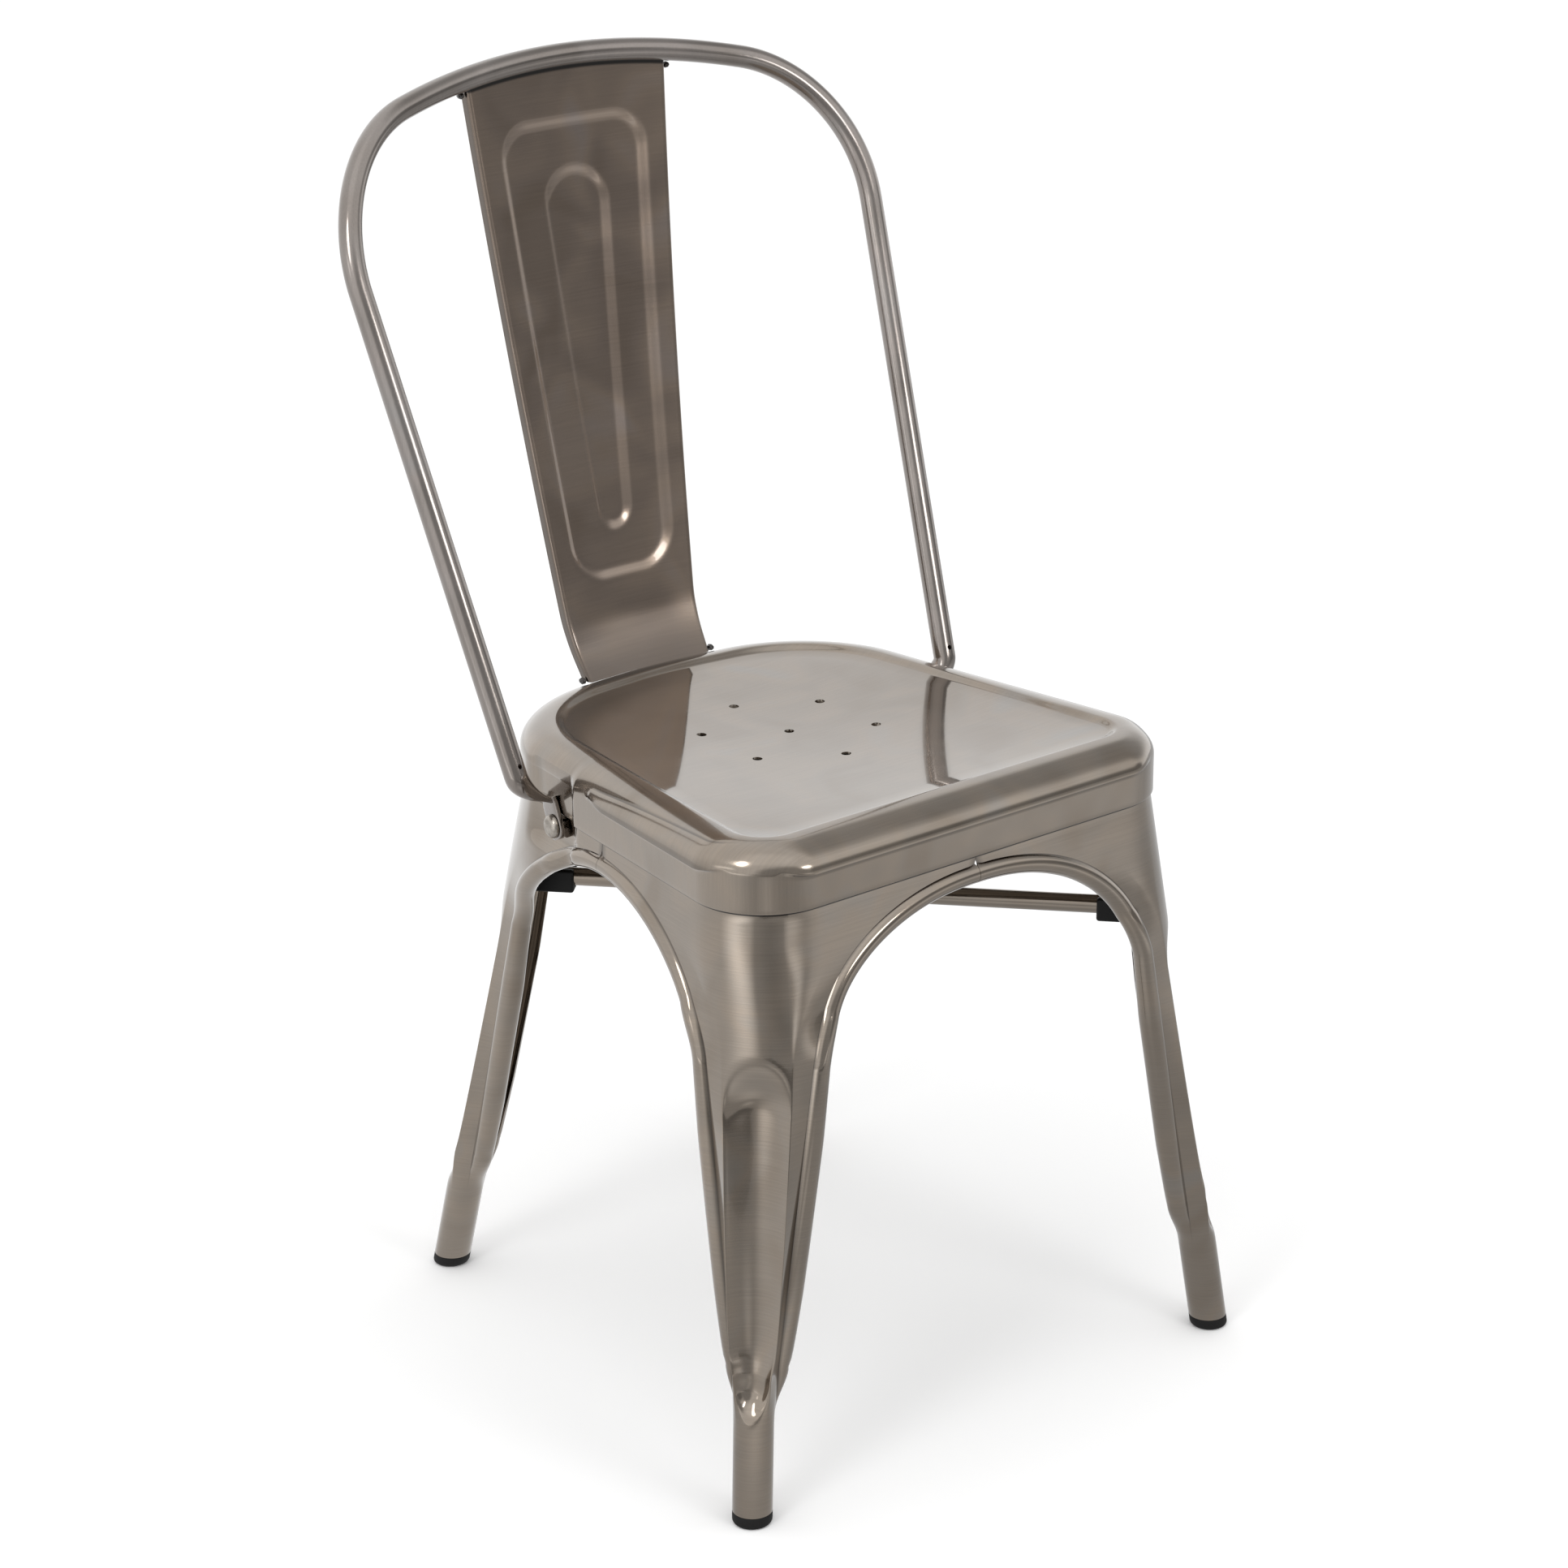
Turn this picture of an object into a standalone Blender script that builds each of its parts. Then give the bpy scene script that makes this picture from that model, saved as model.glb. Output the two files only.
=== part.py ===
"""Stacking side chair of pressed and lacquered steel sheet, with a bent tube hoop for a back.

Metres, Z up. The sitter looks along -Y, and left means the -X side. Lengths along Y are counted from the
drain hole in the middle of the seat; a parent empty then moves the chair over the middle of its own footprint.
"""

import math

import bmesh
import bpy
import numpy as np
from mathutils import Vector

# Sheet thickness, and the fit left between pieces that touch
SHEET = 0.0012
FIT = 0.0003
NEST = 0.0008

# Seat pan, as the outline of its skirt seen from above
SEAT_HEIGHT = 0.4287
SEAT_FRONT = 0.1880
SEAT_REAR = 0.1630
SEAT_REAR_CORNER = 0.1500
SEAT_FRONT_HALF = 0.1902
SEAT_SIDE_TAPER = 0.124
FRONT_CORNER_RADIUS = 0.050
REAR_CORNER_RADIUS = 0.110
REAR_CROWN_RADIUS = 0.300

# Rolled rim and skirt of the seat pan
RIM_RISE = 0.0095
RIM_WIDTH = 0.036
RIM_ROLL = 0.024
RIM_DEPTH = 0.0172
RIM_BULGE = 0.0035
SKIRT_DROP = 0.0327
POCKET_DEPTH = 0.0040
POCKET_MARGIN = 0.0010
POCKET_FRONT_RAMP = 0.0055
POCKET_REAR_RAMP = 0.0240
POCKET_FADE = 0.0120

# Drain holes
DRAIN_HOLE_RADIUS = 0.0034
DRAIN_RING_RADIUS = 0.0589
DRAIN_RING_COUNT = 6

# Feet, at the middle of each foot tube on the floor
FRONT_FOOT_HALF = 0.2040
FRONT_FOOT_REACH = 0.2067
REAR_FOOT_HALF = 0.1459
REAR_FOOT_REACH = 0.2112
FOOT_RADIUS = 0.0130
FOOT_TUBE_TOP = 0.064
FOOT_RIDGE_ANGLE = 50.4
FOOT_CREASE_ANGLE = 104.4
CAP_HEIGHT = 0.0065
CAP_EDGE = 0.0015
CAP_STEM_LENGTH = 0.016
CAP_STEM_SLACK = 0.0005

# Legs. Across the corner of a leg, half widths run along its chord and reaches run out along its diagonal
LEG_TUCK = 0.0150
CORNER_REACH = 0.0105
BLEND_DROP = 0.020
FRONT_LEG_SHIFT = -0.0044
REAR_LEG_SHIFT = 0.0
KNEE_DROP = 0.1317
KNEE_HALF = 0.0340
KNEE_REACH = -0.0030
KNEE_RIDGE_HALF = 0.0225
KNEE_RIDGE_REACH = 0.0058
ANKLE_HEIGHT = 0.100
ANKLE_HALF = 0.0150
ANKLE_REACH = -0.0033
ANKLE_RIDGE_HALF = 0.0122
ANKLE_RIDGE_REACH = 0.0107
FLUTE_TOP_DROP = 0.1227
FLUTE_DEPTH = 0.0065
FLUTE_SHOULDER = 0.014
TUBE_SLIT = 0.0010
COLUMN_CROWD = 0.4

# Arches between the legs, at the crease beside the rolled bead, counted down from the skirt's lower edge
FRONT_ARCH_DROP = 0.0060
SIDE_ARCH_DROP = 0.0095
REAR_ARCH_DROP = 0.0080
SIDE_SEAM_Y = -0.0140
FRONT_ARCH_POWER = 2.2
SIDE_ARCH_POWER = 1.95
REAR_ARCH_POWER = 2.2
ARCH_STEP_POWER = 4
BEAD_RADIUS = 0.0067
SHIN_BEAD_RADIUS = 0.0078
ANKLE_BEAD_RADIUS = 0.0070
BEAD_TURN = 0.050
BEAD_TURN_POWER = 0.4
BEAD_START = 156
BEAD_SWING = 216
KNEE_BEAD_ANGLE = 50
ANKLE_BEAD_ANGLE = 10

# Back hoop, along the middle of its tube
HOOP_RADIUS = 0.0080
HOOP_WALL = 0.0012
HOOP_RISE = 0.4183
HOOP_FOOT_RISE = 0.0020
HOOP_FOOT_HALF = 0.1857
HOOP_FOOT_Y = 0.0553
HOOP_BEND = 0.0110
HOOP_SPLAY = 0.0938
HOOP_RAKE = 0.3722
HOOP_SHOULDER_RADIUS = 0.095
HOOP_CROWN_RADIUS = 0.630
HOOP_BOW = 0.0264

# Tabs that end the hoop, and what bolts them on
TAB_Y = 0.0470
TAB_HALF_WIDTH = 0.0088
TAB_THICKNESS = 0.0040
TAB_LEAN = 27
TAB_RISE = 0.0184
TAB_END = 0.0095
BOLT_DROP = 0.0410
BOLT_RADIUS = 0.0030
BOLT_HEAD_RADIUS = 0.0080
BOLT_HEAD_HEIGHT = 0.0040
BOLT_SPARE = 0.0024
NUT_RADIUS = 0.0055
NUT_HEIGHT = 0.0045
WASHER_RADIUS = 0.0062
WASHER_THICKNESS = 0.0011
VENT_RADIUS = 0.0016

# Back splat
SPLAT_TOP_HALF = 0.0826
SPLAT_FOOT_HALF = 0.0526
SPLAT_FOOT_Y = 0.1509
SPLAT_KINK_RISE = 0.0333
SPLAT_KINK_Y = 0.1680
SPLAT_KINK_ROUND = 0.016
SPLAT_BOW = 0.0045
SPLAT_SAG = 0.0038
FLANGE_DEPTH = 0.0085
EMBOSS_DEPTH = 0.0024
EMBOSS_RAMP = 0.0085
OUTER_EMBOSS_TOP = 0.0360
OUTER_EMBOSS_FOOT = 0.0640
OUTER_EMBOSS_TOP_HALF = 0.0590
OUTER_EMBOSS_FOOT_HALF = 0.0395
OUTER_EMBOSS_ROUND = 0.024
INNER_EMBOSS_TOP = 0.0690
INNER_EMBOSS_FOOT = 0.0950
INNER_EMBOSS_TOP_HALF = 0.0255
INNER_EMBOSS_FOOT_HALF = 0.0115
WELD_RADIUS = 0.0022
WELD_LENGTH = 0.0060

# Brace under the seat, with its saddle bumpers
BRACE_FRONT_DROP = 0.1167
BRACE_REAR_DROP = 0.1117
BRACE_RADIUS = 0.00635
BRACE_WALL = 0.0012
BUMPER_LENGTH = 0.036
BUMPER_HALF_WIDTH = 0.0084
BUMPER_HANG = 0.0034
BUMPER_LIP = 0.0015
BUMPER_MOUTH_HALF = 0.0040
BUMPER_SETBACK = 0.0075

# Levels worked out from the sizes above
SKIRT_Z = SEAT_HEIGHT - SKIRT_DROP
CREST_Z = SEAT_HEIGHT + RIM_RISE
KNEE_Z = SEAT_HEIGHT - KNEE_DROP
POCKET_FLAT = TAB_HALF_WIDTH + TAB_RISE * math.sin(math.radians(TAB_LEAN)) + POCKET_MARGIN
UP = Vector((0, 0, 1))

STEEL = ("lacquered_steel", (0.27, 0.235, 0.205), 0.30, 1.0)
ZINC = ("zinc_plated_steel", (0.42, 0.40, 0.37), 0.35, 1.0)
SCORCH = ("scorched_weld", (0.035, 0.03, 0.028), 0.55, 1.0)
RUBBER = ("black_rubber", (0.012, 0.012, 0.012), 0.60, 0.0)
PLASTIC = ("black_plastic", (0.014, 0.014, 0.014), 0.45, 0.0)


def clear_scene():
    for old in list(bpy.data.objects):
        bpy.data.objects.remove(old)


def smooth(value):
    """Eases 0 to 1, flat at both ends."""
    value = min(max(value, 0.0), 1.0)
    return value * value * (3 - 2 * value)


def unit(vector):
    return np.asarray(vector, float) / np.linalg.norm(vector)


def material(name, colour, roughness, metallic):
    found = bpy.data.materials.get(name)
    if found:
        return found
    made = bpy.data.materials.new(name)
    made.use_nodes = True
    shader = made.node_tree.nodes["Principled BSDF"]
    shader.inputs["Base Color"].default_value = (*colour, 1)
    shader.inputs["Roughness"].default_value = roughness
    shader.inputs["Metallic"].default_value = metallic
    made.diffuse_color = (*colour, 1)
    return made


def piece(name, points, faces, finish, root):
    """One named object from points and faces, smooth except at its sharp edges."""
    mesh = bpy.data.meshes.new(name)
    mesh.from_pydata([tuple(float(c) for c in p) for p in points], [], faces)
    mesh.update()
    mesh.shade_smooth()
    mesh.set_sharp_from_angle(angle=math.radians(35))
    mesh.materials.append(material(*finish))
    made = bpy.data.objects.new(name, mesh)
    bpy.context.scene.collection.objects.link(made)
    made.parent = root
    return made


def thicken(target, thickness):
    """Gives a skin its sheet thickness, inward from the modelled outer face."""
    wall = target.modifiers.new("sheet", "SOLIDIFY")
    wall.thickness = thickness
    wall.offset = -1
    wall.use_even_offset = True
    wall.use_quality_normals = True


def cut(target, cutter):
    cutter.hide_render = True
    cutter.display_type = "WIRE"
    hole = target.modifiers.new("cut_" + cutter.name, "BOOLEAN")
    hole.operation = "DIFFERENCE"
    hole.solver = "EXACT"
    hole.object = cutter


def turned(name, profile, place, axis, sides, finish, root):
    """A round piece: profile is (radius, height) pairs along axis, from one end on the axis to the other."""
    axis = Vector(axis).normalized()
    across = axis.orthogonal().normalized()
    beside = axis.cross(across)
    points = []
    faces = []
    rings = []
    for radius, height in profile:
        middle = Vector(place) + axis * height
        if radius == 0:
            rings.append([len(points)])
            points.append(middle)
            continue
        rings.append(list(range(len(points), len(points) + sides)))
        for k in range(sides):
            angle = 2 * math.pi * k / sides
            points.append(middle + (across * math.cos(angle) + beside * math.sin(angle)) * radius)
    for low, high in zip(rings, rings[1:]):
        for k in range(sides):
            n = (k + 1) % sides
            if len(low) == 1:
                faces.append((low[0], high[n], high[k]))
            elif len(high) == 1:
                faces.append((low[k], low[n], high[0]))
            else:
                faces.append((low[k], low[n], high[n], high[k]))
    return piece(name, points, faces, finish, root)


def rod(name, start, end, radius, sides, finish, root):
    start = Vector(start)
    run = Vector(end) - start
    profile = ((0, 0), (radius, 0), (radius, run.length), (0, run.length))
    return turned(name, profile, start, run, sides, finish, root)


# Outline of the skirt


def corner_arc(before, corner, after, radius, count):
    """Points and outward normals of the arc that rounds one corner of an outline walked anticlockwise."""
    into = unit(corner - before)
    out = unit(after - corner)
    turn = math.acos(float(np.dot(into, out)))
    start = corner - into * radius * math.tan(turn / 2)
    normal = np.array((into[1], -into[0]))
    centre = start - normal * radius
    points = []
    normals = []
    for angle in np.linspace(0, turn, count):
        spun = np.array((
            normal[0] * math.cos(angle) - normal[1] * math.sin(angle),
            normal[0] * math.sin(angle) + normal[1] * math.cos(angle),
        ))
        points.append(centre + spun * radius)
        normals.append(spun)
    return points, normals


class Outline:
    """Right half of the skirt's outline, from the middle of the front round to the middle of the rear."""

    def __init__(self):
        front = np.array((SEAT_FRONT_HALF, -SEAT_FRONT))
        rear_half = SEAT_FRONT_HALF - SEAT_SIDE_TAPER * (SEAT_FRONT + SEAT_REAR_CORNER)
        rear = np.array((rear_half, SEAT_REAR_CORNER))
        slope = math.atan2(SEAT_REAR - SEAT_REAR_CORNER, rear_half)
        apex = np.array((0.0, SEAT_REAR + REAR_CROWN_RADIUS * (1 / math.cos(slope) - 1)))
        start = np.array((0.0, -SEAT_FRONT))
        steps = 25
        front_arc = corner_arc(start, front, rear, FRONT_CORNER_RADIUS, steps)
        rear_arc = corner_arc(front, rear, apex, REAR_CORNER_RADIUS, steps)
        crown = corner_arc(rear, apex, rear * (-1, 1), REAR_CROWN_RADIUS, 2 * steps - 1)
        points = [start] + front_arc[0] + rear_arc[0] + crown[0][:steps]
        normals = [np.array((0.0, -1.0))] + front_arc[1] + rear_arc[1] + crown[1][:steps]
        self.points = np.array(points)
        self.normals = np.array(normals)
        self.length = np.concatenate(([0], np.cumsum(np.linalg.norm(np.diff(self.points, axis=0), axis=1))))
        self.end = self.length[-1]
        self.front_corner = self.length[1 + steps // 2]
        self.rear_corner = self.length[1 + steps + steps // 2]
        self.seam = self.at_y(SIDE_SEAM_Y)
        self.tab = self.at_y(TAB_Y)

    def at_y(self, y):
        return float(np.interp(y, self.points[:, 1], self.length))

    def rear_y(self, x):
        """Where the rear edge of the outline lies at x."""
        rear = self.length > self.rear_corner
        return float(np.interp(-abs(x), -self.points[rear, 0], self.points[rear, 1]))

    def place(self, s):
        return np.array([np.interp(s, self.length, self.points[:, k]) for k in (0, 1)])

    def normal(self, s):
        return unit([np.interp(s, self.length, self.normals[:, k]) for k in (0, 1)])

    def pocket(self, s):
        """Depth pressed into the skirt where a hoop tab lies."""
        ramp = POCKET_FRONT_RAMP if s < self.tab else POCKET_REAR_RAMP
        return POCKET_DEPTH * (1 - smooth((abs(s - self.tab) - POCKET_FLAT) / ramp))

    def pocket_breaks(self):
        """Lengths at which the pocket bends."""
        front = [self.tab - POCKET_FLAT - POCKET_FRONT_RAMP * k for k in (1, 0.5, 0)]
        return front + [self.tab + POCKET_FLAT + POCKET_REAR_RAMP * k for k in (0, 0.5, 1)]

    def bulge(self, s):
        """Swell of the rolled rim along the front and the front half of the side, none round the corners."""
        clear = 0.5 * (self.seam - self.front_corner)
        near = min(abs(s - self.front_corner) / FRONT_CORNER_RADIUS, (self.tab - s) / clear)
        return RIM_BULGE * smooth(near)

    def columns(self, count):
        """Lengths at which to cut the outline, closer together where it turns and round the pocket."""
        turned_by = np.unwrap(np.arctan2(self.normals[:, 1], self.normals[:, 0]))
        weight = self.length + FRONT_CORNER_RADIUS * (turned_by - turned_by[0])
        even = np.interp(np.linspace(0, weight[-1], count), weight, self.length)
        own = self.pocket_breaks()
        apart = (own[-1] - own[0]) / 12
        kept = [s for s in even if min(abs(s - o) for o in own) > apart]
        return sorted(kept + own)


OUTLINE = Outline()


# Seat pan


def rim_level(inset):
    """Height of the rolled rim's outer face at a distance in from the skirt."""
    if inset >= RIM_ROLL:
        return CREST_Z
    run = 1 - max(inset, 0.0) / RIM_ROLL
    return CREST_Z - RIM_DEPTH * (1 - math.sqrt(1 - run**2))


def seat_profile():
    """Rows of the pan from the dish outward: inset from the skirt, height, share of the bulge and of the pocket."""
    rows = [(RIM_WIDTH, SEAT_HEIGHT, 0, 0)]
    ramp = 3
    for k in range(1, ramp):
        inset = RIM_WIDTH + (RIM_ROLL - RIM_WIDTH) * k / ramp
        rows.append((inset, SEAT_HEIGHT + RIM_RISE * smooth(k / ramp), 0, 0))
    turn = 4
    for k in range(turn + 1):
        angle = math.pi / 2 * k / turn
        inset = RIM_ROLL * (1 - math.sin(angle))
        level = CREST_Z - RIM_DEPTH * (1 - math.cos(angle))
        rows.append((inset, level, math.sin(angle) ** 2, math.sin(angle)))
    rows.append((0, CREST_Z - RIM_DEPTH - 2 * RIM_BULGE, 0, 1))
    rows.append((0, SKIRT_Z, 0, 1))
    return rows


def seat_pan(root):
    half = OUTLINE.columns(38)
    ring = [(s, 1) for s in half] + [(s, -1) for s in half[-2:0:-1]]
    points = []
    for inset, level, swell, press in seat_profile():
        for s, side in ring:
            out = OUTLINE.bulge(s) * swell - OUTLINE.pocket(s) * press - inset
            x, y = OUTLINE.place(s) + OUTLINE.normal(s) * out
            points.append((side * x, y, level))
    count = len(ring)
    rows = len(seat_profile())
    faces = [tuple(range(count))]
    for row in range(rows - 1):
        for k in range(count):
            n = (k + 1) % count
            low = row * count
            faces.append((low + k, low + count + k, low + count + n, low + n))
    made = piece("seat_pan", points, faces, STEEL, root)
    thicken(made, SHEET)
    for k in range(DRAIN_RING_COUNT + 1):
        angle = math.pi / 2 + 2 * math.pi * k / DRAIN_RING_COUNT
        radius = DRAIN_RING_RADIUS if k < DRAIN_RING_COUNT else 0
        foot = (radius * math.cos(angle), radius * math.sin(angle), SEAT_HEIGHT - 4 * SHEET)
        top = (foot[0], foot[1], SEAT_HEIGHT + 3 * SHEET)
        cut(made, rod("drain_cutter_%d" % k, foot, top, DRAIN_HOLE_RADIUS, 12, STEEL, root))
    return made


# Legs


class Leg:
    """The skin of one right-hand leg, between the seam it starts at and the seam it ends at."""

    def __init__(self, name, seams, corner, foot, shift, drops, powers):
        self.name = name
        self.seams = seams
        self.corner = corner
        self.foot = np.array(foot)
        self.crowns = [SKIRT_Z - drop for drop in drops]
        self.powers = powers
        self.out = OUTLINE.normal(corner)
        self.along = np.array((-self.out[1], self.out[0]))
        inner = SHEET + NEST
        self.top = OUTLINE.place(corner) - self.out * (CORNER_REACH + inner) + self.along * shift
        self.lean = (self.foot - self.top) / SKIRT_Z

    def axis(self, z):
        return self.foot + (self.top - self.foot) * z / SKIRT_Z

    def local(self, a, b, z):
        x, y = self.axis(z) + self.along * a + self.out * b
        return np.array((x, y, z))

    def under_skirt(self, s, z):
        """The leg's outer face where it carries on from the skirt, leaning out below it."""
        normal = OUTLINE.normal(s)
        below = max(SKIRT_Z - z, 0.0)
        tab_end = SEAT_HEIGHT - BOLT_DROP - TAB_END - SHEET
        press = OUTLINE.pocket(s) / POCKET_DEPTH * (1 - smooth((tab_end - z) / POCKET_FADE))
        leaning = max(float(np.dot(self.lean, normal)), 0.0) * below
        out = leaning * (1 - press) - SHEET - NEST - POCKET_DEPTH * press
        x, y = OUTLINE.place(s) + normal * out
        return np.array((x, y, z))

    def shank(self, z):
        """Half widths and reaches of the ridge and the crease at a height between ankle and knee."""
        rise = min(max((z - ANKLE_HEIGHT) / (KNEE_Z - ANKLE_HEIGHT), 0.0), 1.0)
        ridge = math.sqrt(rise)
        return (
            ANKLE_RIDGE_HALF + (KNEE_RIDGE_HALF - ANKLE_RIDGE_HALF) * ridge,
            ANKLE_RIDGE_REACH + (KNEE_RIDGE_REACH - ANKLE_RIDGE_REACH) * ridge,
            ANKLE_HALF + (KNEE_HALF - ANKLE_HALF) * rise,
            ANKLE_REACH + (KNEE_REACH - ANKLE_REACH) * rise,
        )

    def crease(self, side, z, share):
        """Where the bead starts on one side; share is how far the arch has swept from its seam to the leg."""
        sign = (-1, 1)[side]
        if z <= KNEE_Z:
            half, reach = self.shank(z)[2:]
            return self.local(sign * half, reach, z), None
        knee = self.local(sign * KNEE_HALF, KNEE_REACH, KNEE_Z)
        ankle = self.local(sign * ANKLE_HALF, ANKLE_REACH, ANKLE_HEIGHT)
        seam = self.seams[side]
        tangent = -sign * np.array((-OUTLINE.normal(seam)[1], OUTLINE.normal(seam)[0]))
        span = float(np.dot(knee[:2] - OUTLINE.place(seam), tangent))
        splay = (float(np.dot(ankle[:2] - OUTLINE.place(seam), tangent)) - span) / (KNEE_Z - ANKLE_HEIGHT)
        reach = (span - splay * (z - KNEE_Z)) * share
        s = seam - sign * (reach + FIT / 2)
        at_knee = seam - sign * (span + FIT / 2)
        step = knee - self.under_skirt(at_knee, KNEE_Z)
        return self.under_skirt(s, z) + step * share**ARCH_STEP_POWER, s

    def rows(self):
        """Down the leg: heights at the first and the last crease, and shares of the two arches swept."""
        found = []
        border = SKIRT_Z + LEG_TUCK
        above = 2
        for k in range(above):
            found.append([border + (crown - border) * k / above for crown in self.crowns] + [0.0, 0.0])
        sweep = 8
        for k in (*range(sweep), sweep - 0.5, sweep):
            angle = math.pi / 2 * k / sweep
            levels = [abs(math.cos(angle)) ** (2 / power) for power in self.powers]
            shares = [math.sin(angle) ** (2 / power) for power in self.powers]
            found.append([KNEE_Z + (crown - KNEE_Z) * level for crown, level in zip(self.crowns, levels)] + shares)
        flute_top = SEAT_HEIGHT - FLUTE_TOP_DROP
        shin = [flute_top - KNEE_RIDGE_HALF * k for k in (0.65, 1.15, 2.0)]
        shin += list(np.linspace(shin[-1], ANKLE_HEIGHT, 5)[1:])
        ankle = [FOOT_TUBE_TOP + (ANKLE_HEIGHT - FOOT_TUBE_TOP) * k for k in (0.70, 0.45, 0.22, 0.0)]
        for z in shin + ankle + [CAP_HEIGHT + FIT]:
            found.append([z, z, 1.0, 1.0])
        return found

    def corner_reach(self, a, ridge_half, ridge_reach, z):
        """How far out the corner stands: a round corner above, pressed in to a flute below."""
        swell = 1 - (a / ridge_half) ** 2
        proud = ridge_reach + (CORNER_REACH - ridge_reach) * swell
        pressed = ridge_reach - FLUTE_DEPTH * swell
        top = SEAT_HEIGHT - FLUTE_TOP_DROP - ridge_half * (1 - math.sqrt(max(swell, 0.0)))
        return proud + (pressed - proud) * smooth((top - z) / FLUTE_SHOULDER)

    def steps(self, wing, chord):
        """Columns from crease to crease, 0 to 1 on the first wing, on to 2 round the corner and 3 on the last wing."""
        first = list(np.linspace(0, 1, wing + 1)[:-1])
        start = self.seams[0]
        run = self.corner - KNEE_RIDGE_HALF - start
        if start < OUTLINE.tab < start + run:
            first = [0.0] + [(s - start) / run for s in OUTLINE.pocket_breaks()]
        return np.concatenate((first, 1 + np.linspace(0, 1, chord + 1)[:-1], 2 + np.linspace(0, 1, wing + 1)))

    def skin(self, wing, chord, bead):
        """Rows of points from crease to crease, and the bead strips beside the two creases."""
        steps = self.steps(wing, chord)
        rows = self.rows()
        skin = np.zeros((len(rows), len(steps), 3))
        for i, (first, last, *shares) in enumerate(rows):
            starts = [self.crease(side, (first, last)[side], shares[side]) for side in (0, 1)]
            for j, step in enumerate(steps):
                z = first + (last - first) * step / 3
                skin[i, j] = self.skin_point(step, z, starts)
        strips = [self.bead_strip(skin, rows, side, bead) for side in (0, 1)]
        for i, (first, *_) in enumerate(rows):
            round_off = smooth((ANKLE_HEIGHT - first) / (ANKLE_HEIGHT - FOOT_TUBE_TOP))
            for j, step in enumerate(steps):
                skin[i, j] += (self.tube_point(step - 1.5, first) - skin[i, j]) * round_off
            for side, sign in ((0, -1), (1, 1)):
                for j in range(bead + 1):
                    target = self.tube_point(sign * (1.5 + j / bead), first)
                    strips[side][i, j] += (target - strips[side][i, j]) * round_off
        return skin, strips

    def skin_point(self, step, z, starts):
        ridge_half, ridge_reach = self.shank(z)[:2]
        ends = [start[0] for start in starts]
        a = ridge_half * min(max(2 * (step - 1.5), -1), 1)
        low = self.local(a, self.corner_reach(a, ridge_half, ridge_reach, z), z)
        if step < 1:
            low = ends[0] + (low - ends[0]) * step
        if step > 2:
            low = low + (ends[1] - low) * (step - 2)
        low[2] = z
        if starts[0][1] is None or starts[1][1] is None:
            return low
        high = self.under_skirt(self.column_length(step, starts[0][1], starts[1][1]), z)
        return high + (low - high) * smooth((SKIRT_Z - BLEND_DROP - z) / (SKIRT_Z - BLEND_DROP - KNEE_Z))

    def column_length(self, step, first, last):
        """Length along the outline of a column; it keeps its place under the skirt until a crease pushes it on."""
        left = self.corner - KNEE_RIDGE_HALF
        right = self.corner + KNEE_RIDGE_HALF
        if step < 1:
            return max(self.seams[0] + (left - self.seams[0]) * step, first + (left - first) * step * COLUMN_CROWD)
        if step > 2:
            back = 3 - step
            return min(self.seams[1] + (right - self.seams[1]) * back, last + (right - last) * back * COLUMN_CROWD)
        return left + (right - left) * (step - 1)

    def tube_point(self, share, z):
        """Round foot tube, with share from -2.5 to 2.5 all the way round from slit to slit."""
        slit = TUBE_SLIT / FOOT_RADIUS / 2
        ridge = math.radians(FOOT_RIDGE_ANGLE)
        crease = math.radians(FOOT_CREASE_ANGLE)
        angle = np.interp(abs(share), (0, 0.5, 1.5, 2.5), (0, ridge, crease, math.pi - slit))
        angle = math.copysign(angle, share)
        return self.local(FOOT_RADIUS * math.sin(angle), FOOT_RADIUS * math.cos(angle), z)

    def bead_strip(self, skin, rows, side, count):
        """A half-round bead swept beside one crease, from its seam down to the foot."""
        edge = 0 if side == 0 else -1
        beside = 1 if side == 0 else -2
        first = next(i for i, row in enumerate(rows) if row[2] > 0) - 1
        strip = np.zeros((len(rows), count + 1, 3))
        start = math.radians(BEAD_START)
        swing = math.radians(BEAD_SWING)
        for i in range(len(rows)):
            spot = skin[i, edge]
            run = skin[min(i + 1, len(rows) - 1), edge] - skin[max(i - 1, first), edge]
            if i <= first:
                run = np.array((*self.along_seam(side), 0.0))
            run = unit(run)
            inward = skin[i, beside] - spot
            if i <= first:
                inward = skin[i - 1, edge] - spot
            away = unit(run * np.dot(inward, run) - inward)
            radius = BEAD_RADIUS
            below = smooth((KNEE_Z + BEAD_TURN - spot[2]) / BEAD_TURN)
            if below > 0:
                shin, radius = self.shin_bead((-1, 1)[side], spot[2])
                away = unit(away * (1 - below) + shin * below)
                away = unit(away - run * np.dot(away, run))
            out = np.cross(run, away)
            out = unit(out * np.sign(np.dot(out[:2], spot[:2])))
            for j in range(count + 1):
                angle = start - swing * j / count
                level = radius * (math.sin(angle) - math.sin(start))
                across = radius * (math.cos(angle) - math.cos(start))
                strip[i, j] = spot + away * across + out * level
        return strip

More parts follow.
